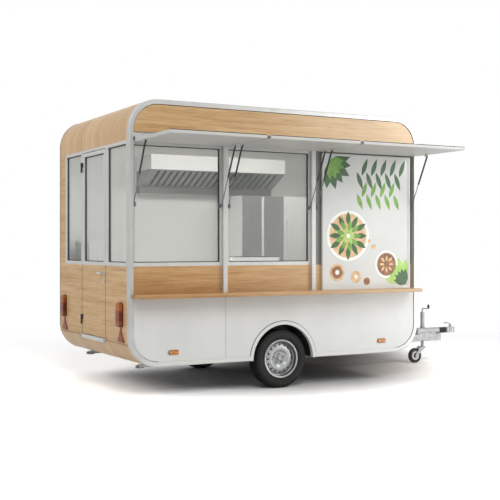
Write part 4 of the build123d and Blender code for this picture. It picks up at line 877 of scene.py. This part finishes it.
# Hob plate with two rings
HOB, HOB_Z, HOB_THICK = (1284, 1732, 197, 555), 1332, 6
RINGS_U, RINGS_V, RING_RADII = (1398, 1618), 376, (92, 84)
bm = bmesh.new()
prism(bm, top_loop(rounded(*HOB, 14, 4), HOB_Z), Vector((0, 0, HOB_THICK / 1000)))
for u in RINGS_U:
    outer, inner = [top_loop(disc(u, RINGS_V, r, 32), HOB_Z + HOB_THICK) for r in RING_RADII]
    ring(bm, outer, inner, Vector((0, 0, 0.001)))
piece("hob_plate", bm, "hob", "trailer")

# Oven front: a frame round a set-back pane
OVEN_U, OVEN = 130, (1490, 1910, 1265, 1485)


def oven_loop(inset, radius):
    v0, v1, z0, z1 = OVEN
    return end_loop(rounded(v0 + inset, v1 - inset, z0 + inset, z1 - inset, radius, 4), OVEN_U)


bm = bmesh.new()
ring(bm, oven_loop(0, 12), oven_loop(25, 8), Vector((-0.008, 0, 0)))
prism(bm, oven_loop(26, 7), Vector((-0.003, 0, 0)))
piece("oven_front", bm, "steel", "trailer")

# Screws on the markers and the threshold


def screw(bm, radius=0.0045, count=16):
    """A domed head with a cross slot, standing on the xy plane."""
    rims = []
    for share, height in ((1.0, 0.0), (1.0, 0.3), (0.8, 0.52), (0.45, 0.62)):
        outline = disc(0, 0, radius * share, count)
        rims.append([bm.verts.new((x, y, radius * height)) for x, y in outline])
    sink = Vector((0, 0, -0.12 * radius))
    dip = [v.co * (0.45 if i % 4 < 2 else 0.9) + sink for i, v in enumerate(rims[-1])]
    rims.append([bm.verts.new(spot) for spot in dip])
    for a, b in zip(rims, rims[1:]):
        for k in range(count):
            m = (k + 1) % count
            bm.faces.new((a[k], a[m], b[m], b[k]))
    bm.faces.new(rims[-1])
    bm.faces.new(list(reversed(rims[0])))


OUTWARD, BACKWARD = (math.radians(90), 0, 0), (0, math.radians(-90), 0)
middle = sum(MARKER_Z) / 2
spots = [at(u, SKIN_V - 14, middle) for c in MARKERS for u in (c - 36, c + 36)]
repeat("marker_screws", spots, screw, "alu", "trailer", OUTWARD)
spots = [at(-0.2, v, LOWER_SEAM + 12) for v in range(660, 1300, 150)]
repeat("threshold_screws", spots, screw, "alu", "trailer", BACKWARD)

# Stage, light and camera
WHITE = (1, 1, 1, 1)


def seen(owner):
    """1 for what the camera sees, straight, in a reflection or through glass."""
    rays = [
        add(owner, "ShaderNodeLightPath", out=f"Is {way} Ray") for way in ("Camera", "Glossy", "Transmission")
    ]
    two = add(owner, "ShaderNodeMath", {0: rays[0], 1: rays[1]}, operation="MAXIMUM")
    return add(owner, "ShaderNodeMath", {0: two, 1: rays[2]}, operation="MAXIMUM")


world = bpy.data.worlds.new("studio")
scene.world = world
world.use_nodes = True
world.node_tree.nodes.clear()
soft = add(world, "ShaderNodeBackground", {"Color": WHITE, "Strength": 0.31})
plain = add(world, "ShaderNodeBackground", {"Color": WHITE, "Strength": 1.0})
either = add(world, "ShaderNodeMixShader", {0: seen(world), 1: soft, 2: plain})
add(world, "ShaderNodeOutputWorld", {"Surface": either})

mesh = bpy.data.meshes.new("studio_floor")
mesh.from_pydata([(-60, -60, 0), (60, -60, 0), (60, 60, 0), (-60, 60, 0)], [], [(0, 1, 2, 3)])
ground = bpy.data.objects.new("studio_floor", mesh)
scene.collection.objects.link(ground)

# Paper sweep: matt white that fades into the white backdrop, with the lamps' shadow on it. Its
# flecks are under a millimetre and drawn at 25. A painted shadow, darker paper under the trailer's
# front half, deepens the lamps' shadow.
paper = bpy.data.materials.new("pale_paper_sweep")
paper.use_nodes = True
paper.node_tree.nodes.clear()
coord = add(paper, "ShaderNodeTexCoord", out="Object")
fleck = add(paper, "ShaderNodeTexNoise", {"Vector": coord, "Scale": 1000 / 25, "Detail": 4.0}, "Fac")
stops = [(0.3, "#E4E4E4"), (0.7, "#E8E8E8")]
fleck = add(paper, "ShaderNodeValToRGB", {"Fac": fleck}, stops=stops)
bounce = add(paper, "ShaderNodeBsdfDiffuse", {"Color": fleck})

# The painted shadow leans back by SLANT, dims by DEPTH at its middle, and starts from a paper so
# BRIGHT that it meets the white backdrop
SLANT, DEPTH, BRIGHT = 0.45, 3.2, 1.85
zero = at(0, 0, 0)
moved = add(paper, "ShaderNodeVectorMath", {0: coord, 1: zero}, operation="SUBTRACT")
slant = {0: moved, 1: (1, -SLANT, 0)}
slant = add(paper, "ShaderNodeVectorMath", slant, "Value", operation="DOT_PRODUCT")
span = add(paper, "ShaderNodeMapRange", {"Value": slant, "From Min": -1.0, "From Max": 5.0})
stops = [(0.1, 0.0), (0.18, 0.1), (0.3, 0.25), (0.48, 0.9), (0.6, 1.0), (0.72, 0.5), (0.84, 0.0)]
shade = add(paper, "ShaderNodeValToRGB", {"Fac": span}, stops=stops)
rise = run(paper, "Y", at(0, -900, 0).y, at(0, 2100, 0).y)
fall = run(paper, "Y", at(0, 2950, 0).y, at(0, 2050, 0).y, interpolation_type="SMOOTHSTEP")
both = add(paper, "ShaderNodeMath", {0: rise, 1: fall}, operation="MULTIPLY")
deep = add(paper, "ShaderNodeMath", {0: both, 1: shade}, operation="MULTIPLY")
deep = add(paper, "ShaderNodeMath", {0: deep, 1: -DEPTH}, operation="MULTIPLY")
tone = add(paper, "ShaderNodeMath", {0: deep}, operation="EXPONENT")
tone = add(paper, "ShaderNodeMath", {0: tone, 1: BRIGHT}, operation="MULTIPLY")
bright = add(paper, "ShaderNodeBsdfDiffuse", {"Color": tone})
glow = add(paper, "ShaderNodeEmission", {"Color": WHITE, "Strength": 1.0})
path = seen(paper)
away = add(paper, "ShaderNodeVectorMath", {0: coord}, "Value", operation="LENGTH")
far = add(paper, "ShaderNodeMapRange", {"Value": away, "From Min": 3.2, "From Max": 7.0})
far = add(paper, "ShaderNodeMath", {0: far, 1: path}, operation="MULTIPLY")
near = add(paper, "ShaderNodeMixShader", {0: path, 1: bounce, 2: bright})
whole = add(paper, "ShaderNodeMixShader", {0: far, 1: near, 2: glow})
add(paper, "ShaderNodeOutputMaterial", {"Surface": whole})
mesh.materials.append(paper)

# Lamps: name, place and aim in metres, the side of the square, watts
LAMPS = [
    ("key", (-4.2, -8.0, 6.6), (-0.4, 0, 1.3), 4.0, 330),
    ("right_fill", (4.8, -5.6, 3.0), (0.6, 0, 1.4), 3.0, 102),
    ("eaves", (2.9, -3.0, 3.9), at(3000, 0, 2620), 1.2, 55),
    ("low_fill", (3.6, -3.8, 0.5), at(2900, -500, 2420), 1.0, 36),
    ("rear_fill", (-9.0, 0.6, 5.6), (-2.3, 0.4, 2.1), 4.0, 215),
    ("back", (2.0, 9.0, 7.0), (0, 0, 1.2), 6.0, 90),
    ("cabin", at(1650, 620, 2770), at(1650, 760, 0), 2.6, 32),
]
for name, where, aim, size, power in LAMPS:
    data = bpy.data.lights.new(name, "AREA")
    data.shape = "SQUARE"
    data.size = size
    data.energy = power
    if name == "cabin":
        data.shape = "RECTANGLE"
        data.size_y = 0.8
    light = bpy.data.objects.new(name, data)
    scene.collection.objects.link(light)
    light.location = where
    light.rotation_euler = (Vector(aim) - Vector(where)).to_track_quat("-Z", "Y").to_euler()
    light.visible_camera = False

# Camera: level, at a standing eye's height, 29 degrees off the serving side's normal
view = bpy.data.cameras.new("camera")
view.sensor_width = 36.0
view.lens = 70.56
view.shift_y = -0.008
camera = bpy.data.objects.new("camera", view)
scene.collection.objects.link(camera)
camera.location = at(-3398, -8560, 1447)
camera.rotation_euler = (math.radians(90), 0, -math.atan2(0.48, 0.877))
scene.camera = camera
scene.view_settings.view_transform = "Standard"
